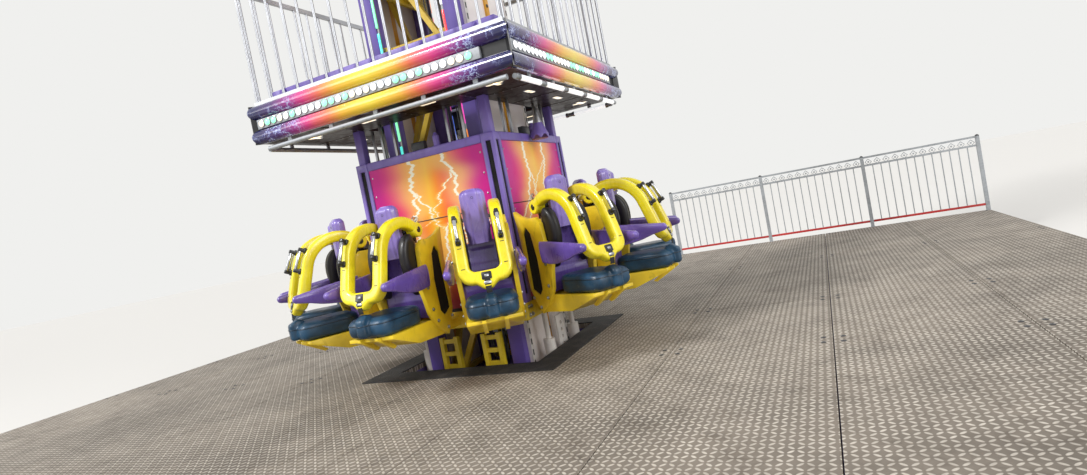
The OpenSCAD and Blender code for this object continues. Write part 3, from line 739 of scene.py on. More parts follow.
@dataclass(frozen=True)
class Stroke:
    """One jagged stroke of lightning down a sheet: where it runs, how far it sways, how wide it burns."""

    across: float
    top: float
    foot: float
    slope: float
    sway: float
    width: float
    seed: float
    forks: tuple[Fork, ...] = ()

    def jag(self, z: Value, side: Value, seed: float, scale: float, detail: float = 5) -> Value:
        """A rough line along the height, unlike on each side.

        Args:
            z: The height.
            side: A number for the side of the box.
            seed: Where in the noise the line is taken.
            scale: How often it turns.
            detail: How rough it is.

        Returns:
            The line, from -0.5 to 0.5.
        """
        surface = z.surface
        line = surface.run(surface.add("ShaderNodeCombineXYZ"), X=side, Y=seed, Z=z)
        return surface.noise(scale, detail, 0.7, 0, line) - 0.5

    def burn(self, off: Value, z: Value, fork: Fork) -> tuple[Value, Value]:
        """The white core and the glow about one line.

        Args:
            off: The distance along the sheet from the line.
            z: The height.
            fork: Where the line starts and dies out, and its share of the stroke's width.

        Returns:
            The core and the glow, both from 0 to 1.
        """
        top, foot = fork.start, fork.foot
        inside = z.level(foot, foot + 0.15) * z.level(top - 0.05, top, 1, 0)
        share = abs(off) / (z.level(foot, top, 0.3, 1.0) * (self.width * fork.share))
        return share.level(0.5, 1.0, 1, 0) * inside, share.level(0.0, 7.0, 1, 0) ** 2.4 * 0.75 * inside

    def lay(self, u: Value, z: Value, side: Value) -> tuple[Value, Value]:
        """Builds the nodes of the stroke and its forks.

        Args:
            u: The place along the sheet.
            z: The height.
            side: A number for the side of the box, so that no two sides are alike.

        Returns:
            The white core and the glow about it, both from 0 to 1.
        """
        shift = (side * (2.3 + self.seed)).step("SINE") * 0.09
        straight = u - self.across - ((z - self.top) * self.slope + shift)
        off, smooth = (straight - self.jag(z, side, self.seed, 3.0, detail) * self.sway for detail in (5, 1))
        core, glow = self.burn(off, z, Fork(self.top, self.foot, 0.0, 1.0))
        _, wash = self.burn(smooth, z, Fork(self.top, self.foot, 0.0, 2.6))
        glow = glow.step("MAXIMUM", wash * 0.8)
        for k, fork in enumerate(self.forks):
            below = (fork.start - z).step("MAXIMUM", 0.0)
            wander = self.jag(z, side, self.seed + 5 + 3 * k, 5.0) * 1.8
            part, halo = self.burn(off - below * (wander + fork.lean), z, fork)
            core, glow = core.step("MAXIMUM", part), glow.step("MAXIMUM", halo)
        return core, glow


@dataclass(frozen=True)
class StormPicture(Finish):
    """A printed sheet: pink at the corners, orange at the middle of each side, with pale lightning."""

    half: float = 0.62
    low: float = 0.98
    joint: float = 1.84
    high: float = 2.4
    inks: tuple[tuple[float, Colour], ...] = (
        (0.0, (253, 184, 44)), (0.16, (251, 140, 36)), (0.32, (242, 84, 66)), (0.5, (232, 40, 112)),
        (0.85, (200, 22, 136)))
    foot: Colour = (128, 34, 62)
    halo: Colour = (255, 222, 120)
    core: Colour = (255, 250, 228)
    rubbed: Colour = (150, 76, 86)
    strokes: tuple[Stroke, ...] = (
        Stroke(-0.2, 2.44, 1.2, 0.08, 0.55, 0.027, 1.3, (Fork(2.12, 1.5, 0.75, 0.55), Fork(1.9, 1.3, -0.8, 0.5))),
        Stroke(0.24, 2.44, 1.1, -0.1, 0.5, 0.022, 4.1, (Fork(2.24, 1.7, -0.8, 0.55), Fork(2.0, 1.35, 0.8, 0.6))),
        Stroke(0.02, 1.8, 1.04, 0.2, 0.4, 0.016, 8.9, (Fork(1.6, 1.1, 0.8, 0.6), Fork(1.45, 1.06, -0.9, 0.6))))

    def lay(self, surface: Surface) -> None:
        """Builds the picture's nodes.

        Args:
            surface: The material in the making.
        """
        x, y, z = surface.axes()
        wide, deep = abs(x), abs(y)
        front = deep.step("GREATER_THAN", wide)
        flank = 1.0 - front
        side = front * y.step("SIGN") + flank * (x.step("SIGN") * 2.6)
        cloud = surface.noise(1.5, 3, 0.5, 0.3)
        rise = z.level(self.low, self.high, -0.12, 0.02)
        colour = surface.ramp(wide.step("MINIMUM", deep) / self.half + (cloud - 0.5) * 0.4 - rise, self.inks)
        foot = z.level(self.low, self.joint - 0.1, 1, 0) * cloud.level(0.3, 0.62, 0.62, 0.96)
        colour = surface.mix(foot, colour, self.foot)
        for stroke in self.strokes:
            core, glow = stroke.lay(front * x + flank * y, z, side)
            colour = surface.mix(core, surface.mix(glow, colour, self.halo), self.core)
        rub = surface.noise(8, 6, 0.7, 0.6)
        colour = surface.mix(rub.level(0.64, 0.8, 0, 0.25), colour, self.rubbed)
        wave = surface.bump(surface.noise(2.2, 2), 0.01, 0.1)
        surface.finish(colour, rub.level(0.4, 0.8, 0.3, 0.5), wave, Specular_IOR_Level=0.3)


@dataclass(frozen=True)
class BandSkin(Finish):
    """The canopy band: yellow at the middle of a side, pink further out and night blue at the corners."""

    half: float = 1.34
    inks: tuple[tuple[float, Colour], ...] = (
        (0.0, (250, 222, 60)), (0.22, (248, 188, 52)), (0.36, (243, 118, 84)), (0.5, (222, 54, 136)),
        (0.62, (156, 36, 132)), (0.76, (70, 34, 104)), (0.92, (28, 30, 84)))
    halo: Colour = (120, 128, 226)
    core: Colour = (206, 220, 255)
    stretch: Point = (1, 1, 1.2)

    def filaments(self, surface: Surface, scale: float, width: float, move: Point) -> tuple[Value, Value]:
        """Forked filaments of light, as the line along which a rough cloud crosses its middle value.

        Args:
            surface: The material in the making.
            scale: Size of the cloud.
            width: Width of a filament's core in cloud values.
            move: Where the cloud starts.

        Returns:
            The core and the glow, both from 0 to 1.
        """
        ridge = abs(surface.noise(scale, 6, 0.62, 0.25, surface.shift(self.stretch, move)) - 0.5)
        gate = surface.noise(scale * 0.45, 2, 0.5, 0, surface.shift(self.stretch, (7, 3, 5))).level(0.44, 0.56)
        return ridge.level(width * 0.35, width, 1, 0) * gate, ridge.level(0, width * 9, 1, 0) ** 2.0 * gate

    def lay(self, surface: Surface) -> None:
        """Builds the band's nodes.

        Args:
            surface: The material in the making.
        """
        x, y, _ = surface.axes()
        share = abs(x).step("MINIMUM", abs(y)) / self.half + (surface.noise(3, 4) - 0.5) * 0.14
        colour = surface.ramp(share, self.inks)
        shown = share.level(0.5, 0.68)
        for size, width, move in ((5.2, 0.011, (3.1, 1.7, 0.4)), (9.5, 0.008, (9.2, 4.4, 2.6))):
            core, halo = self.filaments(surface, size, width, move)
            colour = surface.mix(core * shown, surface.mix(halo * 0.3 * shown, colour, self.halo), self.core)
        rough = surface.noise(6, 6, 0.7).level(0.3, 0.8, 0.12, 0.3)
        surface.finish(colour, rough, None, Coat_Weight=0.7, Coat_Roughness=0.07)


@dataclass(frozen=True)
class Lamp(Finish):
    """A lit lens."""

    glow: Glow = Glow.WHITE
    strength: float = 1.0

    def lay(self, surface: Surface) -> None:
        """Builds the lens's nodes.

        Args:
            surface: The material in the making.
        """
        cells = surface.cells(240)
        colour = surface.mix(cells.level(0.2, 0.6, 0.86, 1.0), shade(self.glow.value, 0.7), self.glow.value)
        surface.finish(colour, 0.2, surface.bump(cells, 0.0006, 0.4), Coat_Weight=0.6,
                       Emission_Color=self.glow.value, Emission_Strength=self.strength)


PURPLE = Enamel("purple_enamel", (126, 106, 190), 0.34, 0.22)
TOWER_PURPLE = Enamel("tower_purple_enamel", (110, 90, 174), 0.36, 0.3)
BASE_PURPLE = Enamel("base_purple_enamel", (94, 78, 150), 0.42, 0.5)
YELLOW = Enamel("yellow_enamel", (231, 202, 48), 0.34, 0.3)
LATTICE = Enamel("lattice_enamel", (208, 174, 44), 0.38, 0.4)
ORANGE = Enamel("orange_strip_enamel", (222, 158, 32), 0.36, 0.25)
WHITE = Enamel("white_enamel", (232, 226, 220), 0.3, 0.3)
RED = Enamel("red_enamel", (196, 44, 40), 0.36, 0.2)
DARK = Enamel("machine_enamel", (40, 41, 46), 0.42, 0.3, (110, 104, 96))
SOFFIT = Moulding("soffit_gloss", (46, 30, 26), 0.34, 0.0, 0.15, 0.04, 0.12)
BLACK_TRIM = Moulding("black_trim", (18, 18, 21), 0.32, 0.3, 0.2, 0.1)
# Near-black finish for painted shadow inside open slots and holes.
SHADOW = Moulding("slot_black", (9, 9, 11), 0.8, 0.0, 0.1, 0.1)
SEAT_PURPLE = Moulding("seat_purple", (139, 119, 200), 0.22, 0.7, 0.3, 0.12)
WING_PURPLE = Moulding("wing_purple", (106, 82, 168), 0.26, 0.6, 0.3, 0.15)
HARNESS_YELLOW = Moulding("harness_yellow", (250, 226, 30), 0.24, 0.6, 0.25, 0.12)
SHELL_YELLOW = Moulding("shell_yellow", (236, 203, 42), 0.34, 0.35, 0.5)
BLACK_PAD = Moulding("black_pad", (22, 19, 25), 0.4, 0.15, 0.2, 0.12, 0.4)
CUSHION = Vinyl("cushion_vinyl", (24, 62, 88))
TREAD = TreadPlate("tread_plate")
MAT = Rubber("ribbed_mat")
WEBBING = Rubber("strap_webbing", (24, 24, 26), 0.006)
ZINC = Metal("zinc_plate", (176, 180, 184), 0.42, 0.5, 0.75)
STEEL = Metal("brushed_steel", (196, 198, 202), 0.3)
CAGE_STEEL = Metal("cage_steel", (206, 208, 213), 0.34, 0.0, 1.0, 0.1)
CHROME = Metal("chrome_plate", (228, 230, 234), 0.09, 0.0, 1.0, 0.02)
WIRE = Metal("wire_rope", (122, 124, 126), 0.4)
SKIN = PanelSkin("white_sheet")
PICTURE = StormPicture("storm_picture")
BAND = BandSkin("band_skin")


def dress(finish: Finish, *nodes: str) -> None:
    """Gives carried-over nodes their finish.

    Args:
        finish: The finish.
        nodes: The nodes' names.
    """
    for node in nodes:
        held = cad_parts[node]
        if not held.material_slots:
            held.data.materials.append(finish.material())
        for slot in held.material_slots:
            slot.material = finish.material()


def stand(name: str, data: bpy.types.ID | None) -> bpy.types.Object:
    """Puts an object in the scene.

    Args:
        name: Its name.
        data: Its mesh, curve, lamp or camera.

    Returns:
        The object.
    """
    made = bpy.data.objects.new(name, data)
    bpy.context.scene.collection.objects.link(made)
    return made


def show(mesh: bpy.types.Mesh, name: str, body: str, slot: str, replaced: Sequence[str] = (),
         crease: float = CREASE) -> bpy.types.Object:
    """Puts a finished mesh in the scene as one piece.

    Args:
        mesh: The mesh, with its materials.
        name: The piece's name.
        body: The body that it rides on.
        slot: Not used.
        replaced: The nodes that it stands for.
        crease: The angle in degrees past which an edge stays sharp.

    Returns:
        The piece.
    """
    mesh.polygons.foreach_set("use_smooth", [True] * len(mesh.polygons))
    mesh.set_sharp_from_angle(angle=math.radians(crease))
    made = stand(name, mesh)
    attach(made, body)
    if replaced:
        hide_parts(*replaced)
    triangles = sum(len(p.vertices) - 2 for p in mesh.polygons)
    log.info("%s on %s: %d triangles", name, body, triangles)
    return made


class Shape:
    """Closed forms gathered in one mesh. Each form takes the coat that was chosen last."""

    def __init__(self) -> None:
        """Starts with no form."""
        self.bm = bmesh.new()
        self.coat = 0

    def paint(self, coat: int) -> "Shape":
        """Chooses which of the piece's finishes the next forms take."""
        self.coat = coat
        return self

    def _keep(self, verts: Iterable[bmesh.types.BMVert], place: Matrix | None) -> "Shape":
        """Moves new points to their place and gives their faces the coat.

        Args:
            verts: The points.
            place: Where they go, or None to leave them.

        Returns:
            The shape.
        """
        verts = list(verts)
        if place is not None:
            bmesh.ops.transform(self.bm, matrix=place, verts=verts)
        for face in {f for v in verts for f in v.link_faces}:
            face.material_index = self.coat
        return self

    def block(self, low: Point, high: Point, soft: float = 0.0, place: Matrix | None = None) -> "Shape":
        """Adds a block between two opposite corners, in any order.

        Args:
            low: One corner.
            high: The other corner.
            soft: The radius of its edges.
            place: Where it goes.

        Returns:
            The shape.
        """
        verts = bmesh.ops.create_cube(self.bm, size=1.0)["verts"]
        for v in verts:
            v.co = Vector([(min if v.co[i] < 0 else max)(low[i], high[i]) for i in range(3)])
        if soft:
            edges = list({e for v in verts for e in v.link_edges})
            cut = bmesh.ops.bevel(self.bm, geom=edges, offset=soft, segments=2, profile=0.5,
                                  affect="EDGES", clamp_overlap=True)
            verts = {v for f in cut["faces"] for v in f.verts}
        return self._keep(verts, place)

    def loft(self, rings: Sequence[Sequence[Point]], place: Matrix | None = None,
             closed: bool = False) -> "Shape":
        """Skins a row of rings.

        Args:
            rings: The rings, with as many points each.
            place: Where the form goes.
            closed: Whether the last ring joins the first; if not, both get a cap.

        Returns:
            The shape.
        """
        made = [[self.bm.verts.new(Vector(p)) for p in ring] for ring in rings]
        count = len(made[0])
        pairs = list(zip(made, made[1:]))
        if closed:
            pairs.append((made[-1], made[0]))
        for first, second in pairs:
            for k in range(count):
                after = (k + 1) % count
                self.bm.faces.new((first[k], first[after], second[after], second[k]))
        if not closed:
            self.bm.faces.new(tuple(reversed(made[0])))
            self.bm.faces.new(tuple(made[-1]))
        return self._keep((v for ring in made for v in ring), place)

    def prism(self, outline: Sequence[Point], depth: float, place: Matrix, soft: float = 0.0) -> "Shape":
        """Adds a plate cut to an outline.

        Args:
            outline: The outline in the place's XY plane.
            depth: The plate's thickness along the place's Z axis.
            place: Where it goes.
            soft: The width of the chamfer round both faces.

        Returns:
            The shape.
        """
        if not soft:
            return self.loft([[(x, y, z) for x, y in outline] for z in (0.0, depth)], place)
        flat = [Vector((x, y)) for x, y in outline]
        inner = []
        for k, here in enumerate(flat):
            before = (here - flat[k - 1]).normalized()
            after = (flat[(k + 1) % len(flat)] - here).normalized()
            square = Vector((-before.y, before.x))
            way = Vector((-(before + after).y, (before + after).x))
            way = way.normalized() if way.length > NEAR_NOTHING else square
            inner.append(here + way * soft / max(SHARPEST_TURN, way.dot(square)))
        area = sum(a.x * b.y - b.x * a.y for a, b in zip(flat, flat[1:] + flat[:1]))
        if area < 0:
            inner = [2 * here - moved for here, moved in zip(flat, inner)]
        rows = ((inner, 0.0), (flat, soft), (flat, depth - soft), (inner, depth))
        return self.loft([[(p.x, p.y, z) for p in row] for row, z in rows], place)

    def lathe(self, profile: Sequence[Point], place: Matrix = Matrix(), sides: int = 24) -> "Shape":
        """Turns a profile of radius and height about the place's Z axis."""
        return self.loft([[(r * math.cos(a), r * math.sin(a), z) for a in turns(sides)] for r, z in profile], place)

    def tube(self, path: Sequence[Point], radius: float | Callable[[float], float],
             sides: int = 12, place: Matrix | None = None) -> "Shape":
        """Sweeps a round section along a path.

        Args:
            path: The path's points.
            radius: The section's radius, or a function that gives it for a share of the way.
            sides: The sides of the section.
            place: Where the form goes.

        Returns:
            The shape.
        """
        points = [Vector(p) for p in path]
        last = len(points) - 1
        rings = []
        side = None
        for k, here in enumerate(points):
            ahead = (points[min(k + 1, last)] - points[max(k - 1, 0)]).normalized()
            side = ahead.orthogonal() if side is None else side - ahead * side.dot(ahead)
            side.normalize()
            other = ahead.cross(side)
            r = radius(k / last) if callable(radius) else radius
            rings.append([here + side * (r * math.cos(a)) + other * (r * math.sin(a)) for a in turns(sides)])
        return self.loft(rings, place)

    def rod(self, start: Point, stop: Point, radius: float, sides: int = 12) -> "Shape":
        """Adds a straight round bar with a small chamfer at each end.

        Args:
            start: One end.
            stop: The other end.
            radius: Its radius.
            sides: The sides of its section.

        Returns:
            The shape.
        """
        a, b = Vector(start), Vector(stop)
        cut = (b - a).normalized() * min(radius * 0.25, (b - a).length / 4)
        return self.tube((a, a + cut, b - cut, b),
                         lambda share: radius * (0.75 if share in (0.0, 1.0) else 1.0), sides)

    def repeat(self, places: Iterable[Matrix]) -> "Shape":
        """Puts a copy of all that was gathered so far at each place, in place of the first.

        Args:
            places: The places.

        Returns:
            The shape.
        """
        source = bpy.data.meshes.new("repeat")
        self.bm.to_mesh(source)
        self.bm.free()
        self.bm = bmesh.new()
        for place in places:
            copy = source.copy()
            copy.transform(place)
            self.bm.from_mesh(copy)
            bpy.data.meshes.remove(copy)
        bpy.data.meshes.remove(source)
        return self

    def mesh(self, name: str, finishes: Sequence[Finish] = ()) -> bpy.types.Mesh:
        """Makes a mesh of the gathered forms, faces outwards.

        Args:
            name: The mesh's name.
            finishes: Its finishes, in the order of the coats.

        Returns:
            The mesh.
        """
        bmesh.ops.recalc_face_normals(self.bm, faces=self.bm.faces)
        made = bpy.data.meshes.new(name)
        self.bm.to_mesh(made)
        self.bm.free()
        for finish in finishes:
            made.materials.append(finish.material())
        return made

    def piece(self, name: str, body: str, slot: str, finishes: Sequence[Finish],
              replaced: Sequence[str] = (), crease: float = CREASE) -> bpy.types.Object:
        """The gathered forms as one piece of the ride."""
        return show(self.mesh(name, finishes), name, body, slot, replaced, crease)


def softened(node: str, finish: Finish, body: str, slot: str, width: float) -> bpy.types.Object:
    """Copies a rigid node with its edges rounded over, and lets the copy stand for the node.

    Args:
        node: The node's name.
        finish: The copy's finish.
        body: The body that it rides on.
        slot: The record's material slot.
        width: How far the rounding reaches from an edge.

    Returns:
        The copy.
    """
    crease, flat = 32.0, 0.5
    work = bmesh.new()
    work.from_mesh(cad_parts[node].data)
    bmesh.ops.remove_doubles(work, verts=work.verts, dist=MERGE)
    bmesh.ops.dissolve_limit(work, angle_limit=math.radians(flat), verts=work.verts, edges=work.edges,
                             use_dissolve_boundaries=False)
    mesh = bpy.data.meshes.new(node + "_soft")
    work.to_mesh(mesh)
    work.free()
    mesh.polygons.foreach_set("material_index", [0] * len(mesh.polygons))
    held = stand("softening", mesh)
    bevel = held.modifiers.new("edges", "BEVEL")
    bevel.width = width
    bevel.segments = 2
    bevel.limit_method = "ANGLE"
    bevel.angle_limit = math.radians(crease)
    made = evaluated(held, node + "_soft")
    bpy.data.objects.remove(held)
    made.materials.clear()
    made.materials.append(finish.material())
    return show(made, node + "_soft", body, slot, (node,), crease)


def evaluated(held: bpy.types.Object, name: str) -> bpy.types.Mesh:
    """Applies an object's modifiers.

    Args:
        held: The object.
        name: The new mesh's name.

    Returns:
        The mesh as the modifiers leave it.
    """
    bpy.context.view_layer.update()
    graph = bpy.context.evaluated_depsgraph_get()
    made = bpy.data.meshes.new_from_object(held.evaluated_get(graph), preserve_all_data_layers=True,
                                           depsgraph=graph)
    made.name = name
    return made


class Tree:
    """A Geometry Nodes tree in the making."""

    def __init__(self, name: str, output: str, **inputs: tuple[str, float | None]) -> None:
        """Starts a tree.

        Args:
            name: The tree's name.
            output: The name of its shape.
            inputs: The kind and the default of each input, by its name.
        """
        self.group = bpy.data.node_groups.new(name, "GeometryNodeTree")
        for label, (kind, default) in inputs.items():
            socket = self.group.interface.new_socket(label, in_out="INPUT", socket_type="NodeSocket" + kind)
            if default is not None:
                socket.default_value = default
        self.group.interface.new_socket(output, in_out="OUTPUT", socket_type="NodeSocketGeometry")
        self.given = self.group.nodes.new("NodeGroupInput").outputs

    def node(self, kind: str, feeds: dict[str | int, object], out: str | None = None,
             **settings: object) -> Socket | None:
        """Adds a node.

        Args:
            kind: The node's type.
            feeds: A socket or a constant for each of its inputs.
            out: The output that is wanted, if it isn't the first that is in use.
            settings: Its options.

        Returns:
            The output.
        """
        made = self.group.nodes.new(kind)
        for key, value in settings.items():
            setattr(made, key, value)
        for key, value in feeds.items():
            if isinstance(value, bpy.types.NodeSocket):
                self.group.links.new(value, made.inputs[key])
            else:
                made.inputs[key].default_value = value
        return made.outputs[out] if out else next((s for s in made.outputs if s.enabled), None)

    def close(self, shape: Socket) -> bpy.types.NodeTree:
        """Ends the tree with real geometry in the given finish.

        Args:
            shape: The shape.

        Returns:
            The tree.
        """
        real = self.node("GeometryNodeRealizeInstances", {0: shape})
        coat = self.node("GeometryNodeSetMaterial", {"Geometry": real, "Material": self.given["Finish"]})
        self.node("NodeGroupOutput", {0: coat})
        return self.group


def grown(held: bpy.types.Object, tree: bpy.types.NodeTree, name: str, **values: object) -> bpy.types.Mesh:
    """Runs a tree on an object, which is then removed.

    Args:
        held: The object.
        tree: The tree.
        name: The new mesh's name.
        values: The tree's inputs by name; each is set by its identifier.

    Returns:
        The tree's result as a plain mesh.
    """
    given = {item.name: item.identifier for item in tree.interface.items_tree if item.in_out == "INPUT"}
    run = held.modifiers.new("growing", "NODES")
    run.node_group = tree
    for label, value in values.items():
        run[given[label]] = value
    made = evaluated(held, name)
    bpy.data.objects.remove(held)
    return made


@dataclass
class Scatter:
    """A Geometry Nodes tree that sets one small fitting on each point of a list, turned as the point says."""

    name: str = "fittings_on_points"
    size: float = 1.0

    def tree(self) -> bpy.types.NodeTree:
        """Builds the tree once, with inputs for the fitting, its size and its finish.

        Returns:
            The tree.
        """
        made = bpy.data.node_groups.get(self.name)
        if made is not None:
            return made
        tree = Tree(self.name, "Fittings", Points=("Geometry", None), Fitting=("Object", None),
                    Size=("Float", self.size), Finish=("Material", None))
        given = tree.given
        unit = tree.node("GeometryNodeObjectInfo", {"Object": given["Fitting"]}, "Geometry")
        turn = tree.node("GeometryNodeInputNamedAttribute", {"Name": "turn"}, data_type="FLOAT_VECTOR")
        return tree.close(tree.node("GeometryNodeInstanceOnPoints", {
            "Points": given["Points"], "Instance": unit, "Rotation": turn, "Scale": given["Size"]}))

    def spread(self, name: str, body: str, slot: str, unit: Shape, places: Sequence[Matrix],
               finish: Finish) -> bpy.types.Object:
        """Sets a fitting at every place and returns them as one piece.

        Args:
            name: The piece's name.
            body: The body that it rides on.
            slot: The record's material slot.
            unit: The fitting, modelled about its own origin.
            places: Where each one goes; only the move and the turn count.
            finish: Its finish.

        Returns:
            The piece.
        """
        cloud = bpy.data.meshes.new("points")
        cloud.from_pydata([p.to_translation() for p in places], [], [])
        turned = cloud.attributes.new("turn", "FLOAT_VECTOR", "POINT")
        turned.data.foreach_set("vector", [a for p in places for a in p.to_euler("XYZ")])
        fitting = stand("fitting", unit.mesh("fitting"))
        made = grown(stand("spread", cloud), self.tree(), name, Fitting=fitting, Size=self.size,
                     Finish=finish.material())
        bpy.data.objects.remove(fitting)
        return show(made, name, body, slot)


@dataclass
class Conduit:
    """A Geometry Nodes tree that runs a ribbed tube along a curve."""

    name: str = "ribbed_tube_on_curve"
    radius: float = 0.03
    rib_depth: float = 0.18
    half_pitch: float = 0.016
    sides: int = 12

    def tree(self) -> bpy.types.NodeTree:
        """Builds the tree once, with inputs for radius, rib depth, rib pitch and finish.

        Returns:
            The tree.
        """
        made = bpy.data.node_groups.get(self.name)
        if made is not None:
            return made
        tree = Tree(self.name, "Tube", Route=("Geometry", None), Radius=("Float", self.radius),
                    Depth=("Float", self.rib_depth), Pitch=("Float", self.half_pitch), Finish=("Material", None))
        given = tree.given
        cut = tree.node("GeometryNodeResampleCurve", {"Curve": given["Route"], "Length": given["Pitch"]},
                        mode="LENGTH")
        odd = tree.node("ShaderNodeMath", {0: tree.node("GeometryNodeInputIndex", {}), 1: 2.0}, operation="MODULO")
        deep = tree.node("ShaderNodeMath", {0: odd, 1: given["Depth"]}, operation="MULTIPLY")
        keep = tree.node("ShaderNodeMath", {0: 1.0, 1: deep}, operation="SUBTRACT")
        swell = tree.node("GeometryNodeSetCurveRadius", {"Curve": cut, "Radius": keep})
        ring = tree.node("GeometryNodeCurvePrimitiveCircle", {"Resolution": self.sides, "Radius": given["Radius"]})
        return tree.close(tree.node("GeometryNodeCurveToMesh", {
            "Curve": swell, "Profile Curve": ring, "Scale": keep, "Fill Caps": True}))

    def run(self, name: str, body: str, slot: str, route: Sequence[Point], finish: Finish) -> bpy.types.Object:
        """Runs a ribbed tube along a route.

        Args:
            name: The piece's name.
            body: The body that it rides on.
            slot: The record's material slot.
            route: The route's points.
            finish: Its finish.

        Returns:
            The piece.
        """
        line = bpy.data.curves.new("route", "CURVE")
        line.dimensions = "3D"
        spline = line.splines.new("POLY")
        spline.points.add(len(route) - 1)
        for point, where in zip(spline.points, route):
            point.co = (*where, 1.0)
        made = grown(stand("route", line), self.tree(), name, Radius=self.radius, Depth=self.rib_depth,
                     Pitch=self.half_pitch, Finish=finish.material())
        return show(made, name, body, slot)


def hex_bolt(across: float, height: float) -> Shape:
    """A hexagon head on its washer, standing on the XY plane.

    Args:
        across: The head's size.
        height: The height of its top.

    Returns:
        The bolt.
    """
    washer = 0.003
    unit = Shape().lathe(((across * 0.78, 0.0), (across * 0.78, washer)), sides=14)
    return unit.lathe(((across * 0.56, washer), (across * 0.56, height - 0.003), (across * 0.44, height)), sides=6)


def rivet(radius: float) -> Shape:
    """A low round head, standing on the XY plane."""
    return Shape().lathe(((radius, 0.0), (radius * 0.9, radius * 0.3), (radius * 0.45, radius * 0.52)), sides=10)


FITTINGS = Scatter()
CONDUIT = Conduit()


@dataclass
class Studio:
    """The pale room: camera, floor and lights. The camera's lens and frame are in pixels of the photograph."""

    eye: Point = (3.179, -5.421, 1.72)
    yaw: float = 24.73
    pitch: float = -2.37
    roll: float = -10.97
    focal_px: float = 620.0
    frame_px: float = 1087.0
    sensor_mm: float = 36.0
    far: float = 200.0
    half_floor: float = 90.0
    floor: Colour = (226, 224, 220)
    wall: Colour = (240, 240, 238)
    room_light: float = 0.5
    aim: Point = (0.0, 0.0, 1.6)

    def camera(self) -> None:
        """Stands the camera where the first of the three views was taken from."""
        yaw, pitch, roll = (math.radians(a) for a in (self.yaw, self.pitch, self.roll))
        ahead = Vector((-math.sin(yaw) * math.cos(pitch), math.cos(yaw) * math.cos(pitch), math.sin(pitch)))
        right = Vector((math.cos(yaw), math.sin(yaw), 0.0))
        above = right.cross(ahead)
        side = right * math.cos(roll) + above * math.sin(roll)
        top = -right * math.sin(roll) + above * math.cos(roll)
        data = bpy.data.cameras.new("camera")
        data.lens = self.sensor_mm * self.focal_px / self.frame_px
        data.sensor_width = self.sensor_mm
        data.clip_end = self.far
        held = stand("camera", data)
        held.matrix_world = Matrix.Translation(self.eye) @ Matrix((side, top, -ahead)).transposed().to_4x4()
        bpy.context.scene.camera = held

    def room(self) -> None:
        """Lays the floor and lights the room."""
        size = self.half_floor
        sheet = bpy.data.meshes.new("floor")
        sheet.from_pydata([(-size, -size, 0), (size, -size, 0), (size, size, 0), (-size, size, 0)], [],
                          [(0, 1, 2, 3)])
        sheet.materials.append(Paper("studio_floor", self.floor).material())
        stand("floor", sheet)
        self.world()
        self.sun("key", (0.42, 0.62, -0.66), 2.2, 14)
        self.sun("fill", (-0.8, 0.25, -0.45), 1.2, 50)
        self.softbox("softbox_left", (-9.0, -12.0, 8.0), 6.0, 420)
        self.softbox("softbox_right", (13.0, -6.0, 7.0), 5.0, 300)

    def world(self) -> None:
        """Fills the room with pale light, and shows a paler wall to the camera, in mirrors and through glass."""
        room = bpy.data.worlds.new("room")
        room.use_nodes = True
        bpy.context.scene.world = room
        nodes, links = room.node_tree.nodes, room.node_tree.links
        light = nodes["Background"]
        light.inputs["Color"].default_value = (1, 1, 1, 1)
        light.inputs["Strength"].default_value = self.room_light
        wall = nodes.new("ShaderNodeBackground")
        wall.inputs["Color"].default_value = linear(self.wall)
        path = nodes.new("ShaderNodeLightPath")
        seen = path.outputs["Is Camera Ray"]
        for ray in ("Is Glossy Ray", "Is Transmission Ray"):
            either = nodes.new("ShaderNodeMath")
            either.operation = "MAXIMUM"
            links.new(seen, either.inputs[0])
            links.new(path.outputs[ray], either.inputs[1])
            seen = either.outputs[0]
        both = nodes.new("ShaderNodeMixShader")
        for source, target in ((seen, 0), (light.outputs[0], 1), (wall.outputs[0], 2)):
            links.new(source, both.inputs[target])
        links.new(both.outputs[0], nodes["World Output"].inputs["Surface"])

    def lamp(self, name: str, kind: str, way: Point, energy: float) -> bpy.types.Object:
        """Adds a lamp at the origin.

        Args:
            name: Its name.
            kind: Its type, SUN or AREA.
            way: The way that it shines.
            energy: Its strength, in W per square metre for a sun and in W for a soft lamp.

        Returns:
            The lamp.
        """
        data = bpy.data.lights.new(name, kind)
        data.energy = energy
        held = stand(name, data)
        held.rotation_mode = "QUATERNION"
        held.rotation_quaternion = Vector(way).to_track_quat("-Z", "Y")
        return held

    def sun(self, name: str, way: Point, strength: float, angle: float) -> None:
        """Adds a distant lamp that shines along a direction, as soft as its angle in degrees is wide."""
        self.lamp(name, "SUN", way, strength).data.angle = math.radians(angle)

    def softbox(self, name: str, where: Point, size: float, power_w: float) -> None:
        """Adds a square soft lamp that faces the ride.

        Args:
            name: Its name.
            where: Its place.
            size: Its side.
            power_w: Its power in W.
        """
        held = self.lamp(name, "AREA", Vector(self.aim) - Vector(where), power_w)
        held.location = where
        held.data.size = size


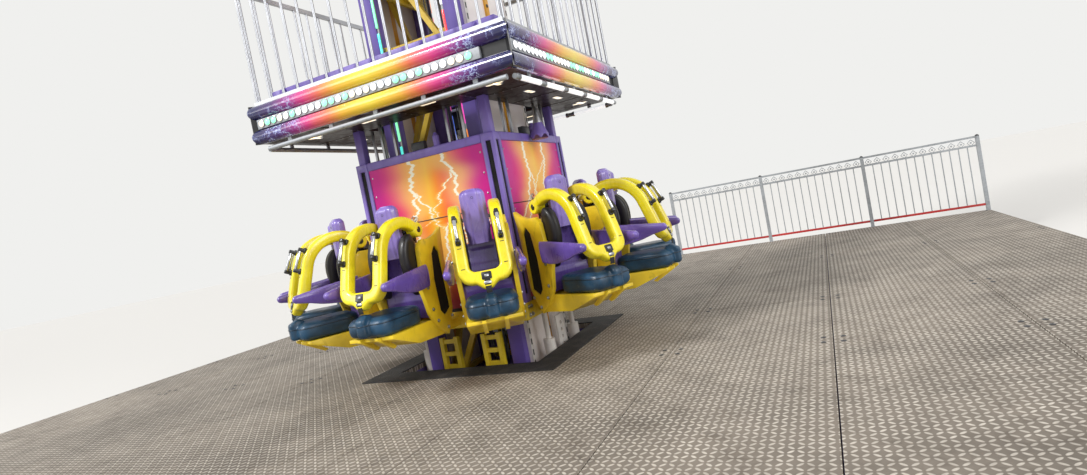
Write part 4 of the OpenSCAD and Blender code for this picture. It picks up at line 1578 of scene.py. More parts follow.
@dataclass
class Deck:
    """The walking surface, its frame, steps, mats and fence."""

    nodes: tuple[str, ...] = ("deck_front", "deck_back", "deck_left", "deck_right")
    top: float = field(default_factory=lambda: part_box("deck_front")[1].z)
    bolt_in: float = 0.06
    half_gate: float = 0.6
    fence_bays: int = 3
    ornament: float = 0.094
    ornament_pitch: float = 0.125
    ornament_drop: float = 0.095
    strip_low: float = 0.078
    strip_high: float = 0.112

    def build(self) -> None:
        """Dresses the deck and adds its bolts and the fence's ornaments."""
        dress(TREAD, *self.nodes, "deck_steps")
        dress(MAT, "deck_mats")
        dress(BASE_PURPLE, "base_frame")
        dress(ZINC, "levelling_jacks", "exit_fence")
        self.bolts()
        self.fence()

    def panels(self) -> list[tuple[Vector, Vector]]:
        """Finds the deck's panels from the deck nodes' own solids.

        Returns:
            The lowest and the highest corner of each.
        """
        found = []
        for node in self.nodes:
            work = bmesh.new()
            work.from_mesh(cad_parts[node].data)
            bmesh.ops.remove_doubles(work, verts=work.verts, dist=MERGE)
            left = set(work.verts)
            while left:
                group, grow = set(), [left.pop()]
                while grow:
                    here = grow.pop()
                    group.add(here)
                    fresh = {edge.other_vert(here) for edge in here.link_edges} & left
                    left -= fresh
                    grow += fresh
                found.append(corners([v.co for v in group]))
            work.free()
        return found

    def bolts(self) -> None:
        """Sets a flat screw near each corner of each deck panel."""
        places = [Matrix.Translation((x, y, self.top)) for low, high in self.panels()
                  for x in (low.x + self.bolt_in, high.x - self.bolt_in)
                  for y in (low.y + self.bolt_in, high.y - self.bolt_in)]
        head = ((0.019, -0.001), (0.019, 0.002), (0.015, 0.0035), (0.006, 0.0035), (0.005, 0.001))
        FITTINGS.spread("deck_screws", "tower", "machine_dark", Shape().lathe(head, sides=16), places, DARK)

    def fence(self) -> None:
        """Adds a row of diamonds in each bay of the fence's ornament band, post caps and a red kick strip."""
        low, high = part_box("exit_fence")
        y, post = (low.y + high.y) / 2, high.y - low.y
        bay = (high.x - self.half_gate - post) / self.fence_bays
        inner = bay - post
        count = int(inner // self.ornament_pitch)
        play = 0.004
        diamonds, caps, strips = [], [], Shape()
        for side in (-1, 1):
            for k in range(self.fence_bays):
                start = self.half_gate + k * bay + post
                diamonds += [upright(side * (start + inner * (j + 0.5) / count), y, high.z - self.ornament_drop)
                             for j in range(count)]
                strips.block((side * (start + play), y - 0.021, low.z + self.strip_low),
                             (side * (start + inner - play), y - 0.0155, low.z + self.strip_high), 0.002)
            caps += [Matrix.Translation((side * (self.half_gate + k * bay + post / 2), y, high.z))
                     for k in range(self.fence_bays + 1)]
        FITTINGS.spread("fence_diamonds", "tower", "zinc", self.diamond(), diamonds, ZINC)
        half = post / 2
        cap = Shape().loft([[(sx * half * share, sy * half * share, z) for sx, sy in SQUARE]
                            for share, z in ((1.0, -0.004), (1.0, 0.004), (0.25, 0.02))])
        FITTINGS.spread("fence_caps", "tower", "black_rubber", cap, caps, BLACK_TRIM)
        strips.piece("fence_kick_strips", "tower", "strip_orange", (RED,))

    def diamond(self) -> Shape:
        """One ornament of the fence: four bars in a diamond round a button.

        Returns:
            The ornament, in its own XY plane.
        """
        reach, bar = self.ornament / 2, 0.005
        points = [(reach, 0, 0), (0, reach, 0), (-reach, 0, 0), (0, -reach, 0)]
        made = Shape()
        for start, stop in zip(points, points[1:] + points[:1]):
            made.rod(start, stop, bar, 6)
        return made.lathe(((0.012, -0.004), (0.014, 0.0), (0.012, 0.004)), sides=10)


@dataclass
class Tower:
    """The four-rail tower: lattice plates, white sheets, bolted strips, light tubes and head."""

    rail_in: float = 0.38
    low: float = field(default_factory=lambda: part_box("tower_rails")[0].z)
    high: float = field(default_factory=lambda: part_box("tower_rails")[1].z)
    bays: int = 16
    plate: Point = (0.11, 0.26, 0.008)
    plate_slant: float = 0.03
    bolt_across: float = 0.032
    bolt_along: tuple[float, ...] = (-0.1, -0.05, 0.05, 0.1)
    strip_pitch: float = 0.15
    channel_w: float = 0.05
    channel_d: float = 0.012
    slot_pitch: float = 0.1
    tube_side: float = 0.026
    tube_run: float = 0.36
    tube_gap: float = 0.05
    tube_glow: float = 0.9
    tube_colours: tuple[Glow, ...] = (Glow.RED, Glow.ORANGE, Glow.PINK, Glow.BLUE, Glow.PINK, Glow.ORANGE,
                                      Glow.WHITE, Glow.TEAL, Glow.GREEN, Glow.YELLOW)

    def build(self) -> None:
        """Dresses the tower and adds what is bolted to it."""
        softened("tower_rails", TOWER_PURPLE, "tower", "tower_purple", 0.008)
        softened("tower_head", TOWER_PURPLE, "tower", "tower_purple", 0.006)
        dress(LATTICE, "lattice_front", "lattice_back", "lattice_left", "lattice_right")
        dress(SKIN, "side_panels_front", "side_panels_rear")
        dress(ORANGE, "side_strips")
        dress(YELLOW, "fold_hinge", "base_brackets")
        dress(STEEL, "erection_ram")
        dress(ZINC, "tower_ladder")
        dress(WIRE, "lift_cables")
        dress(DARK, "head_sheaves")
        dress(WHITE, "landing_buffers")
        self.plates()
        self.strip_heads()
        self.perforated_strips()
        self.light_tubes()
        self.conduit()

    def levels(self) -> list[float]:
        """The heights of the lattice's double bars."""
        pitch = (self.high - self.low) / self.bays
        return [self.low + k * pitch for k in range(self.bays + 1)]

    def plates(self) -> None:
        """Bolts a gusset plate over each end of each pair of bars, on all four sides."""
        wide, tall, thick = self.plate
        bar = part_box("lattice_front")[0].y
        x = self.rail_in - wide / 2 - 0.002
        plates = [face.turn @ upright(side * x, bar, z) for face in Face for z in self.levels()[1:-1]
                  for side in (-1, 1)]
        heads = [place @ Matrix.Translation((dx, dz, thick)) for place in plates
                 for dx in (-self.bolt_across, self.bolt_across) for dz in self.bolt_along]
        outline = [(-wide / 2, -tall / 2), (wide / 2, -tall / 2 + self.plate_slant),
                   (wide / 2, tall / 2 - self.plate_slant), (-wide / 2, tall / 2)]
        unit = Shape().prism(outline, thick, Matrix(), 0.0015)
        FITTINGS.spread("lattice_gussets", "tower", "lattice_yellow", unit, plates, LATTICE)
        FITTINGS.spread("gusset_bolts", "tower", "bright_steel", hex_bolt(0.018, 0.011), heads, STEEL)

    def strip_heads(self) -> None:
        """Sets a round dark head every few centimetres up the orange strips."""
        low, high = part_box("side_strips")
        end = 0.1
        count = int((high.z - low.z - 2 * end) / self.strip_pitch)
        places = [flank(side, high.x, 0.0, low.z + end + k * self.strip_pitch) for side in (-1, 1)
                  for k in range(count)]
        unit = Shape().lathe(((0.017, 0.0), (0.017, 0.005), (0.011, 0.009), (0.004, 0.009)), sides=12)
        FITTINGS.spread("strip_heads", "tower", "machine_dark", unit, places, DARK)

    def perforated_strips(self) -> None:
        """Runs a narrow white channel with a row of slots beside each rail on both sides; each slot is a flat black
        plate, painted shade where the hole is.
        """
        front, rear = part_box("side_panels_front"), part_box("side_panels_rear")
        inner, outer = front[1].x, front[1].x + self.channel_d
        low, short_of_rear = self.low + 0.02, 0.5
        strips, slots = Shape(), []
        for side in (-1, 1):
            for edge in (front[0].y, -front[0].y - self.channel_w):
                top = front[1].z if edge < 0 else rear[1].z - short_of_rear
                strips.block((side * inner, edge, low), (side * outer, edge + self.channel_w, top), 0.003)
                slots += [flank(side, outer, edge + self.channel_w / 2, low + self.slot_pitch * (k + 0.5))
                          for k in range(int((top - low) / self.slot_pitch))]
        strips.piece("perforated_strips", "tower", "panel_white", (WHITE,))
        # Each slot is a thin black plate on the channel's face: painted shade in the hole.
        unit = Shape().prism(rounded(0.022, 0.055, 0.005, 2), 0.0012, Matrix.Translation((0, 0, -0.0002)))
        FITTINGS.spread("strip_slots", "tower", "machine_black", unit, slots, BLACK_TRIM)

    def light_tubes(self) -> None:
        """Cuts each light tube into lit lengths of changing colour in a metal channel."""
        low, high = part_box("light_tubes")
        side, half = self.tube_side, self.tube_side / 2
        lamps = tuple(Lamp("tube_" + glow.name.lower(), glow, self.tube_glow) for glow in self.tube_colours)
        rng = Random(11)
        made = Shape()
        for sx, sy in ((-1, -1), (-1, 1), (1, -1), (1, 1)):
            x, y = sx * (high.x - half), sy * (high.y - half)
            made.paint(len(lamps)).block((x - half, y - sy * half, low.z), (x + half, y - sy * half * 0.2, high.z),
                                         0.002)
            z = low.z + 0.02
            while z + self.tube_run < high.z:
                made.paint(rng.randrange(len(lamps)))
                made.block((x - side * 0.4, y + sy * side * 0.48, z),
                           (x + side * 0.4, y - sy * side * 0.05, z + self.tube_run - self.tube_gap), 0.004)
                z += self.tube_run
        made.piece("light_tube_lengths", "tower", "tube_light", (*lamps, STEEL), ("light_tubes",))

    def conduit(self) -> None:
        """Clips a ribbed conduit up the inside of the back lattice."""
        x, y, foot, short_of_top = 0.27, self.rail_in + 0.012, 0.3, 1.2
        CONDUIT.run("ribbed_conduit", "tower", "ram_grey", [(x, y, foot), (x, y, self.high - short_of_top)], STEEL)
        clips = Shape()
        for z in self.levels()[1:-2]:
            clips.block((x - 0.042, y - 0.034, z - 0.02), (x + 0.042, y + 0.03, z + 0.02), 0.004)
        clips.piece("conduit_clips", "tower", "machine_dark", (DARK,))


@dataclass
class Carrier:
    """The square seat carrier: ring, slotted posts, picture panels, rails, rollers and bells."""

    half: float = field(default_factory=lambda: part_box("carrier_posts")[1].x)
    low: float = field(default_factory=lambda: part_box("art_panels")[0].z)
    high: float = field(default_factory=lambda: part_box("carrier_top_rails")[1].z)
    face: float = field(default_factory=lambda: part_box("art_panels")[0].y)
    post: float = 0.13
    slot_share: float = 0.38
    slot_end: float = 0.072
    joint_up: float = 0.86
    rivets: int = 8
    scallops: int = 6
    scallop_rise: float = 0.034
    skirt: tuple[Point, ...] = ((0.96, 0.0), (1.0, 0.01), (0.97, 0.03), (0.88, 0.06), (0.76, 0.09), (0.64, 0.12),
                                (0.52, 0.15))
    spire: tuple[Point, ...] = ((0.52, 0.15), (0.5, 0.162), (0.42, 0.19), (0.33, 0.225), (0.25, 0.262),
                                (0.16, 0.29), (0.07, 0.3))

    def build(self) -> None:
        """Dresses the carrier and adds its seams, the painted shadows in its post slots, and bolts."""
        softened("carrier_ring", YELLOW, "gondola", "carrier_yellow", 0.006)
        softened("carrier_posts", PURPLE, "gondola", "gondola_purple", 0.006)
        softened("carrier_top_rails", PURPLE, "gondola", "gondola_purple", 0.006)
        dress(PICTURE, "art_panels")
        dress(DARK, "guide_rollers")
        self.bells()
        self.slot_shadows()
        self.panel_trims()
        self.bolts()

    def bells(self) -> None:
        """Turns the bell hoods: a scalloped skirt, a waist and a chrome spire, on a bracket to the carrier."""
        low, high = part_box("bell_hoods")
        reach = (high.y - low.y) / 2
        made = Shape()
        for side in (-1, 1):
            x = side * (high.x - reach)
            for coat, profile in enumerate((self.skirt, self.spire)):
                rings = []
                for share, z in profile:
                    deep = 0.0 if coat else self.scallop_rise * ease(z, 0.06, 0.0)
                    rings.append([(x + reach * share * math.cos(a), reach * share * math.sin(a),
                                   low.z + z + deep * abs(math.sin(self.scallops / 2 * a)) ** 1.4)
                                  for a in turns(48)])
                made.paint(coat).loft(rings)
            made.paint(0).block((side * (self.half - 0.0005), -0.015, low.z + 0.03),
                                (side * (self.half + 0.04), 0.015, low.z + 0.06), 0.003)
        made.piece("bell_hood_turnings", "gondola", "gondola_purple", (PURPLE, CAGE_STEEL), ("bell_hoods",))

    def slot_shadows(self) -> None:
        """Fills the long slot in each face of each corner post with a near-black block: painted shadow where the
        slot is open.
        """
        made = Shape()
        half_slot = (self.post * self.slot_share - 0.002) / 2
        for face in Face:
            for side in (-1, 1):
                x = side * (self.half - self.post / 2)
                made.block((x - half_slot, 0.012 - self.half, self.low + self.slot_end),
                           (x + half_slot, 0.0445 - self.half, self.high - self.slot_end), 0.003, face.turn)
        made.piece("post_slot_liners", "gondola", "machine_black", (SHADOW,))

    def panel_trims(self) -> None:
        """Adds the joint between upper and lower sheet, the dark foot, an eye bolt and rivets to each panel."""
        inner = self.half - self.post - 0.001
        joint = self.low + self.joint_up
        rivet_in, first, span = 0.03, self.low + 0.1, self.high - self.low - 0.25
        eye_x, eye_up = -0.21, 0.035
        ring = [(eye_x + x, self.face - 0.014, joint + eye_up + z) for x, z in arc((0, 0), 0.024, 0, 342, 18)]
        made = Shape()
        heads = []
        for face in Face:
            for low, high, proud, soft in ((joint - 0.004, joint + 0.004, 0.003, 0.001),
                                           (self.low, self.low + 0.03, 0.008, 0.002)):
                made.paint(0).block((-inner, self.face - proud, low), (inner, self.face, high), soft, face.turn)
            made.paint(1).tube(ring, 0.005, 8, face.turn)
            heads += [face.turn @ upright(side * (inner - rivet_in), self.face, first + k * span / (self.rivets - 1))
                      for side in (-1, 1) for k in range(self.rivets)]
        made.piece("panel_trims", "gondola", "machine_black", (BLACK_TRIM, STEEL))
        FITTINGS.spread("panel_rivets", "gondola", "bright_steel", rivet(0.009), heads, STEEL)

    def bolts(self) -> None:
        """Bolts the ring's corners."""
        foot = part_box("carrier_ring")[0].z
        heads = [face.turn @ upright(side * (self.half - dx), -self.half, foot + dz) for face in Face
                 for side in (-1, 1) for dx in (0.04, 0.09) for dz in (0.04, 0.11)]
        FITTINGS.spread("ring_bolts", "gondola", "bright_steel", hex_bolt(0.024, 0.014), heads, STEEL)


@dataclass
class Canopy:
    """The lit roof over the seats: soffit lamps, edge bands, lamp rows, pipes and cage."""

    low: float = field(default_factory=lambda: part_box("fascia_bands")[0].z)
    high: float = field(default_factory=lambda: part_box("fascia_bands")[1].z)
    plate: float = field(default_factory=lambda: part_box("canopy_soffit")[0].z)
    sheet: float = 1.277
    lamp_pitch: float = 0.075
    lamp_row: float = 2.3
    lamp_start: float = -1.25
    lens_glow: float = 1.1
    oval_at: tuple[float, ...] = (-0.96, -0.32, 0.32, 0.96)
    oval_in: float = 0.97
    seam_at: tuple[float, ...] = (-0.62, 0.0, 0.62)
    seam_rivets: int = 7
    tube_radius: float = 0.0225
    tube_pitch: float = 0.48
    hanger_at: tuple[float, ...] = (-0.42, -0.28, 0.3, 0.46)
    hanger_in: float = 0.705

    def build(self) -> None:
        """Dresses the canopy and adds its lamps and small frames."""
        softened("canopy_posts", PURPLE, "gondola", "gondola_purple", 0.006)
        softened("canopy_frame", PURPLE, "gondola", "frame_purple", 0.006)
        dress(SOFFIT, "canopy_soffit")
        dress(BLACK_TRIM, "fascia_sheets")
        dress(BAND, "fascia_bands")
        dress(ZINC, "canopy_pipes")
        dress(CAGE_STEEL, "canopy_cage")
        self.lamp_rows()
        self.soffit_lamps()
        self.tube_lamps()
        self.soffit_seams()
        self.hangers()

    def lamp_rows(self) -> None:
        """Sets the row of round lamps in the recess between the two half-round bands."""
        middle = (self.low + self.high) / 2
        front, half = -(self.sheet + 0.03), 0.043
        channel = Shape()
        for face in Face:
            channel.block((-1.27, front, middle - half), (1.06, front + 0.03, middle + half), 0.004, face.turn)
        channel.piece("lamp_channels", "gondola", "bright_steel", (ZINC,))
        lenses = {glow: [] for glow in (Glow.WHITE, Glow.GREEN, Glow.WARM)}
        rng = Random(5)
        rims = [face.turn @ upright(self.lamp_start + (k + 0.5) * self.lamp_pitch, front, middle)
                for face in Face for k in range(int(self.lamp_row / self.lamp_pitch))]
        for place in rims:
            lenses[rng.choice((Glow.WHITE, Glow.WHITE, Glow.GREEN, Glow.GREEN, Glow.WARM))].append(place)
        rim = Shape().lathe(((0.033, 0.0), (0.034, 0.006), (0.03, 0.008), (0.028, 0.004)), sides=18)
        FITTINGS.spread("lamp_rims", "gondola", "bright_steel", rim, rims, CHROME)
        dome = [(0.029 * math.cos(a), 0.004 + 0.017 * math.sin(a)) for a in (0, 0.35, 0.7, 1.05, 1.35)]
        for glow, places in lenses.items():
            label = "lens_" + glow.name.lower()
            FITTINGS.spread("lamp_lenses_" + glow.name.lower(), "gondola", "tube_light",
                            Shape().lathe(dome, sides=16), places, Lamp(label, glow, self.lens_glow))

    def soffit_lamps(self) -> None:
        """Sets long oval lamps in the soffit, in a row along each side."""
        lens, rim = Shape(), Shape()
        for face in Face:
            for x in self.oval_at:
                for shape, wide, deep, high in ((lens, 0.15, 0.042, 0.004), (rim, 0.176, 0.066, 0.0025)):
                    place = face.turn @ basis((x, -self.oval_in, self.plate), (1, 0, 0), (0, -1, 0))
                    shape.prism(rounded(wide, deep, deep / 2 - 0.001, 6), high, place, 0.001)
        rim.piece("soffit_lamp_rims", "gondola", "bright_steel", (CHROME,))
        lens.piece("soffit_lamp_lenses", "gondola", "tube_light", (Lamp("soffit_lens", Glow.WARM, 1.3),))

    def soffit_seams(self) -> None:
        """Covers the joints of the soffit sheets with thin flat strips and rivets."""
        half, thick, inner, rivet_pitch = 0.02, 0.002, -0.66, 0.085
        strips, heads = Shape(), []
        for face in Face:
            for x in self.seam_at:
                strips.block((x - half, -self.sheet + 0.04, self.plate - thick), (x + half, inner, self.plate),
                             0.0008, face.turn)
                heads += [face.turn @ basis((x, -self.sheet + 0.08 + k * rivet_pitch, self.plate - thick),
                                            (1, 0, 0), (0, -1, 0)) for k in range(self.seam_rivets)]
        strips.piece("soffit_strips", "gondola", "soffit_dark", (SOFFIT,))
        FITTINGS.spread("soffit_rivets", "gondola", "bright_steel", rivet(0.006), heads, STEEL)

    def tube_lamps(self) -> None:
        """Sleeves the pipes under the right and back edges with white tube lamps."""
        y, z = 0.021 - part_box("canopy_pipes")[1].y, self.low - 0.05
        radius, lit, ring = self.tube_radius, 0.38, 0.012
        made = Shape()
        for face in (Face.RIGHT, Face.BACK):
            for k in range(5):
                x = -1.2 + k * self.tube_pitch
                made.paint(0).tube([(x + 0.05 + t * lit / 6, y, z) for t in range(7)], radius, 14, face.turn)
                for end in (x + 0.035, x + 0.435):
                    made.paint(1).tube(((end - ring, y, z), (end + ring, y, z)), radius + 0.004, 14, face.turn)
        made.piece("tube_lamps", "gondola", "tube_light", (Lamp("tube_lens", Glow.WHITE, 0.7), STEEL))

    def hangers(self) -> None:
        """Adds thin rods and boxes between the carrier's top and the soffit."""
        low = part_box("carrier_top_rails")[1].z
        y, half, button_x, button_y = -self.hanger_in, 0.012, 0.16, -0.71
        box_low, box_high, box_tall = (-0.1, -0.735), (0.04, -0.68), 0.075
        button = ((0.028, 0), (0.03, 0.004), (0.03, 0.09), (0.02, 0.1), (0.012, 0.12))
        made = Shape()
        for face in Face:
            for x in self.hanger_at:
                made.paint(0).block((x - half, y - half, low), (x + half, y + half, self.plate), 0.002, face.turn)
            made.paint(1).block((*box_low, low), (*box_high, low + box_tall), 0.006, face.turn)
            made.paint(2).lathe(button, face.turn @ Matrix.Translation((button_x, button_y, low)), 18)
        made.piece("canopy_hangers", "gondola", "bright_steel", (STEEL, DARK, PURPLE))


@dataclass
class Seat:
    """One moulded seat: headrest, back shell, shoulder pads, armrests, cushion, side frames and pivot housing."""

    head: tuple[Vector, Vector] = field(default_factory=lambda: sector_box("headrests"))
    back: tuple[Vector, Vector] = field(default_factory=lambda: sector_box("seat_backs"))
    pad: tuple[Vector, Vector] = field(default_factory=lambda: sector_box("seat_cushions"))
    wing: tuple[Vector, Vector] = field(default_factory=lambda: sector_box("seat_armrests"))
    pivot: Point = (1.285, 0.0, 1.77)
    wing_in: float = 0.2413
    wing_tip: float = 0.032
    cushion_top: float = 1.19
    cushion_end: float = 1.93
    cushion_cell: float = 0.0105
    cushion_cap: float = 0.012
    pommel: Point = (1.825, 1.98)
    piping_radius: float = 0.0045
    bolster_out: float = 0.154
    bolster_half: float = 0.047
    bolster: tuple[Point, ...] = (
        (1.385, 1.262, 0.016), (1.392, 1.285, 0.038), (1.406, 1.34, 0.056), (1.42, 1.4, 0.068),
        (1.43, 1.47, 0.077), (1.434, 1.54, 0.081), (1.43, 1.61, 0.078), (1.418, 1.665, 0.068),
        (1.402, 1.705, 0.052), (1.388, 1.73, 0.033), (1.38, 1.741, 0.012))
    frame_slot: tuple[Point, ...] = ((1.122, 1.092), (1.214, 1.043), (1.26, 1.092), (1.266, 1.35), (1.233, 1.557),
                                     (1.18, 1.617), (1.133, 1.557))
    frame_bolts: tuple[Point, ...] = ((1.32, 1.02), (1.36, 1.12), (1.375, 1.3), (1.37, 1.46), (1.2, 0.94),
                                      (1.12, 1.02))

    def build(self) -> None:
        """Builds every kind of seat piece and sets it at all places."""
        self.headrest()
        self.shell()
        self.shoulder_pads()
        self.armrests()
        self.cushion()
        self.housing()
        softened("seat_frames", SHELL_YELLOW, "gondola", "seat_yellow", 0.007)
        self.frame_details()

    def headrest(self) -> None:
        """Lofts the headrest slab: round top corners, a raised facet down its front and a small hole in it, drawn as
        a dark plug of painted shade.
        """
        low, high = self.head
        half, corner, rear_cut = (high.y - low.y) / 2, 0.058, 0.014
        foot_share, foot_rise = 0.86, 0.16
        facet_half, facet_edge, facet_proud = 0.034, 0.052, 0.012
        edge_wide, edge_deep = 0.034, 0.03
        crown_rise, crown_deep = 0.05, 0.03
        lean_rise, lean_deep = 0.12, 0.016
        levels = [(low.z + (high.z - low.z - corner) * k / 12, 0.0) for k in range(12)]
        levels += [(high.z - corner + corner * math.sin(a), a) for a in (math.pi / 2 * k / 10 for k in range(11))]
        rings = []
        for z, turn in levels:
            foot = foot_share + (1 - foot_share) * ease(z, low.z, low.z + foot_rise)
            wide = (half - corner * (1 - math.cos(turn))) * foot
            crown = crown_deep * ease(z, high.z - crown_rise, high.z) ** 2
            lean = lean_deep * ease(z, low.z + lean_rise, low.z)
            rear = low.x + crown * 0.4
            ring = []
            for k in range(33):
                y = wide * (-1 + 2 * k / 32)
                facet = facet_proud * ease(abs(y), facet_half, facet_edge)
                edge = edge_deep * ease(abs(y), wide - edge_wide, wide) ** 1.6
                ring.append((high.x - 0.001 - facet - edge - crown - lean, y, z))
            rings.append(ring + cut_corners(rear, wide, -wide, rear_cut, z))
        made = Shape().loft(rings)
        # The hole is a shallow near-black plug flush with the front: painted shade in the hole.
        hole = basis((high.x - 0.0105, 0, high.z - 0.07), (0, 1, 0), (0, 0, 1))
        made.paint(1).lathe(((0.011, 0.0), (0.011, 0.009), (0.008, 0.0108), (0.006, 0.004)), hole, 16)
        made.repeat(seat_turns())
        made.piece("headrest_mouldings", "gondola", "seat_purple", (SEAT_PURPLE, SHADOW), ("headrests",), 50.0)

    def shell(self) -> None:
        """Lofts the lower back, hollowed between its edges and ribbed across."""
        low, high = self.back
        rows, ribs, rear_cut = 34, 7, 0.012
        lean_deep, rib_proud, hollow_deep, edge_deep = 0.03, 0.006, 0.034, 0.016
        rings = []
        for k in range(rows + 1):
            share = k / rows
            z = low.z + (high.z - low.z) * share
            front = high.x - lean_deep * ease(share, 0.55, 1.0)
            rib = rib_proud * (0.5 + 0.5 * math.cos(2 * math.pi * share * ribs)) * ease(share, 0.05, 0.15)
            ring = []
            for j in range(25):
                side = -1 + 2 * j / 24
                hollow = hollow_deep * (1 - abs(side) ** 3)
                x = front - hollow + rib * (1 - abs(side) ** 6)
                ring.append((x - edge_deep * ease(abs(side), 0.9, 1.0), side * high.y, z))
            rings.append(ring + cut_corners(low.x, high.y, low.y, rear_cut, z))
        made = Shape().loft(rings).repeat(seat_turns())
        made.piece("back_shells", "gondola", "seat_purple", (WING_PURPLE,), ("seat_backs",))

    def shoulder_pads(self) -> None:
        """Lofts the big glossy dark bolster each side, which fills the room under the harness bend."""
        made = Shape()
        path = curve(self.bolster, 4)
        for side in (-1, 1):
            rings = []
            for k, (x, z, fat) in enumerate(path):
                before, after = path[max(k - 1, 0)], path[min(k + 1, len(path) - 1)]
                ahead = Vector((after[0] - before[0], 0, after[1] - before[1])).normalized()
                out = Vector((ahead.z, 0, -ahead.x))
                here = Vector((x, side * self.bolster_out, z))
                wide = self.bolster_half * min(1.0, 0.45 + fat * 9)
                rings.append([here + out * (fat * power(math.cos(a), 0.74))
                              + Vector((0, wide * power(math.sin(a), 0.62), 0)) for a in turns(30)])
            made.loft(rings)
        made.repeat(seat_turns())
        made.piece("shoulder_pads", "gondola", "machine_black", (BLACK_PAD,), (), 60.0)

    def armrests(self) -> None:
        """Lofts the wedge each side: a sloping top, a deep heel, a long crease along the flank and a round tip."""
        low, high = self.wing
        tip, full = self.wing_tip, high.y - self.wing_in
        end = high.x - tip
        level = high.z - 0.055 - tip
        line = curve(((low.x, high.z - 0.002, high.z - 0.176), (low.x + 0.15, high.z - 0.014, high.z - 0.19),
                      (low.x + 0.3, high.z - 0.03, high.z - 0.172), (low.x + 0.42, high.z - 0.043, high.z - 0.138),
                      (end, level + tip, level - tip)), 6)
        line += [(end + tip * math.sin(a), level + tip * math.cos(a), level - tip * math.cos(a))
                 for a in (0.3, 0.6, 0.85, 1.1, 1.3, 1.45)]
        crease, steep, blunt, root = 0.25, 0.34, 0.45, 0.88
        made = Shape()
        for side in (-1, 1):
            rings = []
            for x, top, bottom in line:
                round_off = 1.0 if x <= end else blunt + (1 - blunt) * (top - bottom) / (2 * tip)
                wide = full * round_off * (root + (1 - root) * ease(x, low.x, low.x + 0.06))
                ring = []
                for a in turns(36):
                    v = power(math.sin(a), 0.5)
                    slant = 1.0 - steep * abs(v - crease) / (1 - crease if v > crease else 1 + crease)
                    ring.append((x, side * (self.wing_in + full / 2 + wide / 2 * slant * power(math.cos(a), 0.36)),
                                 (top + bottom) / 2 + (top - bottom) / 2 * v))
                rings.append(ring)
            made.loft(rings)
        made.repeat(seat_turns())
        made.piece("armrest_wings", "gondola", "seat_purple", (WING_PURPLE,), ("seat_armrests",), 50.0)

    def cushion(self) -> None:
        """Makes the stuffed cushion with its pommel: closed forms, blown up as cloth."""
        low, high = self.pad
        margin, lift, nose_half = 0.009, 0.01, 0.055
        front_round, rear_round, side_round, rear_narrow = 0.05, 0.012, 0.018, 0.012
        tall = self.cushion_top - low.z - 2 * margin
        rings = []
        for k in range(13):
            share = k / 12
            swell = math.sqrt(max(0.0, 1 - abs(2 * share - 1) ** 2.6))
            ring = []
            for a in turns(56):
                end_round = front_round if math.cos(a) > 0 else rear_round
                x = (low.x + self.cushion_end) / 2 + power(math.cos(a), 0.4) * (
                    (self.cushion_end - low.x) / 2 - margin - end_round * (1 - swell))
                half = high.y - margin - rear_narrow * ease(1.5 - x, 0.0, 0.06)
                y = power(math.sin(a), 0.4) * (half - side_round * (1 - swell))
                ring.append((x, y, low.z + margin + tall * share))
            rings.append(ring)
        start = Shape().loft(rings)
        nose = []
        near, far = self.pommel
        tall = high.z - low.z - lift - 2 * margin
        for k in range(11):
            share = k / 10
            cap = math.sqrt(max(0.05, 1 - ease(share, 0.8, 1.0) ** 2 - 0.4 * ease(1 - share, 0.86, 1.0) ** 2))
            nose.append([((near + far) / 2 + ((far - near) / 2 - margin) * cap * power(math.cos(a), 0.5),
                          (nose_half - margin) * (0.6 + 0.4 * cap) * power(math.sin(a), 0.55),
                          low.z + lift + margin + tall * share) for a in turns(36)])
        start.loft(nose)
        mesh = self.blown(start.mesh("cushion"))
        work = Shape()
        work.bm.from_mesh(mesh)
        work.repeat(seat_turns())
        made = work.piece("seat_cushion_pads", "gondola", "cushion_teal", (CUSHION,), ("seat_cushions",), 70.0)
        self.piping(mesh)

    def blown(self, mesh: bpy.types.Mesh) -> bpy.types.Mesh:
        """Remeshes a closed form and blows it up as cloth, no point further than the cap.

        Args:
            mesh: The closed form.

        Returns:
            The blown form.
        """
        frames, cap = 20, self.cushion_cap
        held = stand("blowing", mesh)
        cells = held.modifiers.new("cells", "REMESH")
        cells.mode = "VOXEL"
        cells.voxel_size = self.cushion_cell
        fine = evaluated(held, "cushion_cells")
        held.modifiers.clear()
        held.data = fine
        rest = [v.co.copy() for v in fine.vertices]
        cloth = held.modifiers.new("cloth", "CLOTH")
        cloth.settings.use_pressure = True
        cloth.settings.uniform_pressure_force = 4.0
        cloth.settings.quality = 5
        cloth.settings.effector_weights.gravity = 0.0
        cloth.point_cache.frame_start = 1
        cloth.point_cache.frame_end = frames
        for step in range(1, frames + 1):
            bpy.context.scene.frame_set(step)
        fine = evaluated(held, "cushion_blown")
        bpy.context.scene.frame_set(1)
        for vertex, before in zip(fine.vertices, rest):
            moved = vertex.co - before
            if moved.length > cap:
                vertex.co = before + moved.normalized() * cap
        bpy.data.objects.remove(held)
        return fine

    def piping(self, mesh: bpy.types.Mesh) -> None:
        """Sews a piping round the cushion where its top and side panels meet.

        Args:
            mesh: The cushion of the seat on the +X side.
        """
        away, proud, thick = 0.6, 0.0015, self.piping_radius
        centre = Vector(((self.pad[0].x + self.cushion_end) / 2, 0, self.cushion_top - 0.042))
        held = stand("probe", mesh)
        bpy.context.view_layer.update()
        path = []
        for angle in turns(96):
            way = Vector((math.cos(angle), math.sin(angle), 0))
            hit, point, _, _ = held.ray_cast(centre + way * away, -way)
            if hit:
                path.append(point + way * proud)
        bpy.data.objects.remove(held)
        rings = []
        for k, here in enumerate(path):
            ahead = (path[(k + 1) % len(path)] - path[k - 1]).normalized()
            side = ahead.cross(UP).normalized()
            rings.append([here + side * (thick * math.cos(a)) + UP * (thick * math.sin(a)) for a in turns(8)])
        made = Shape().loft(rings, closed=True)
        made.repeat(seat_turns())
        made.piece("cushion_piping", "gondola", "cushion_teal", (Vinyl("piping_vinyl", (16, 40, 58)),))

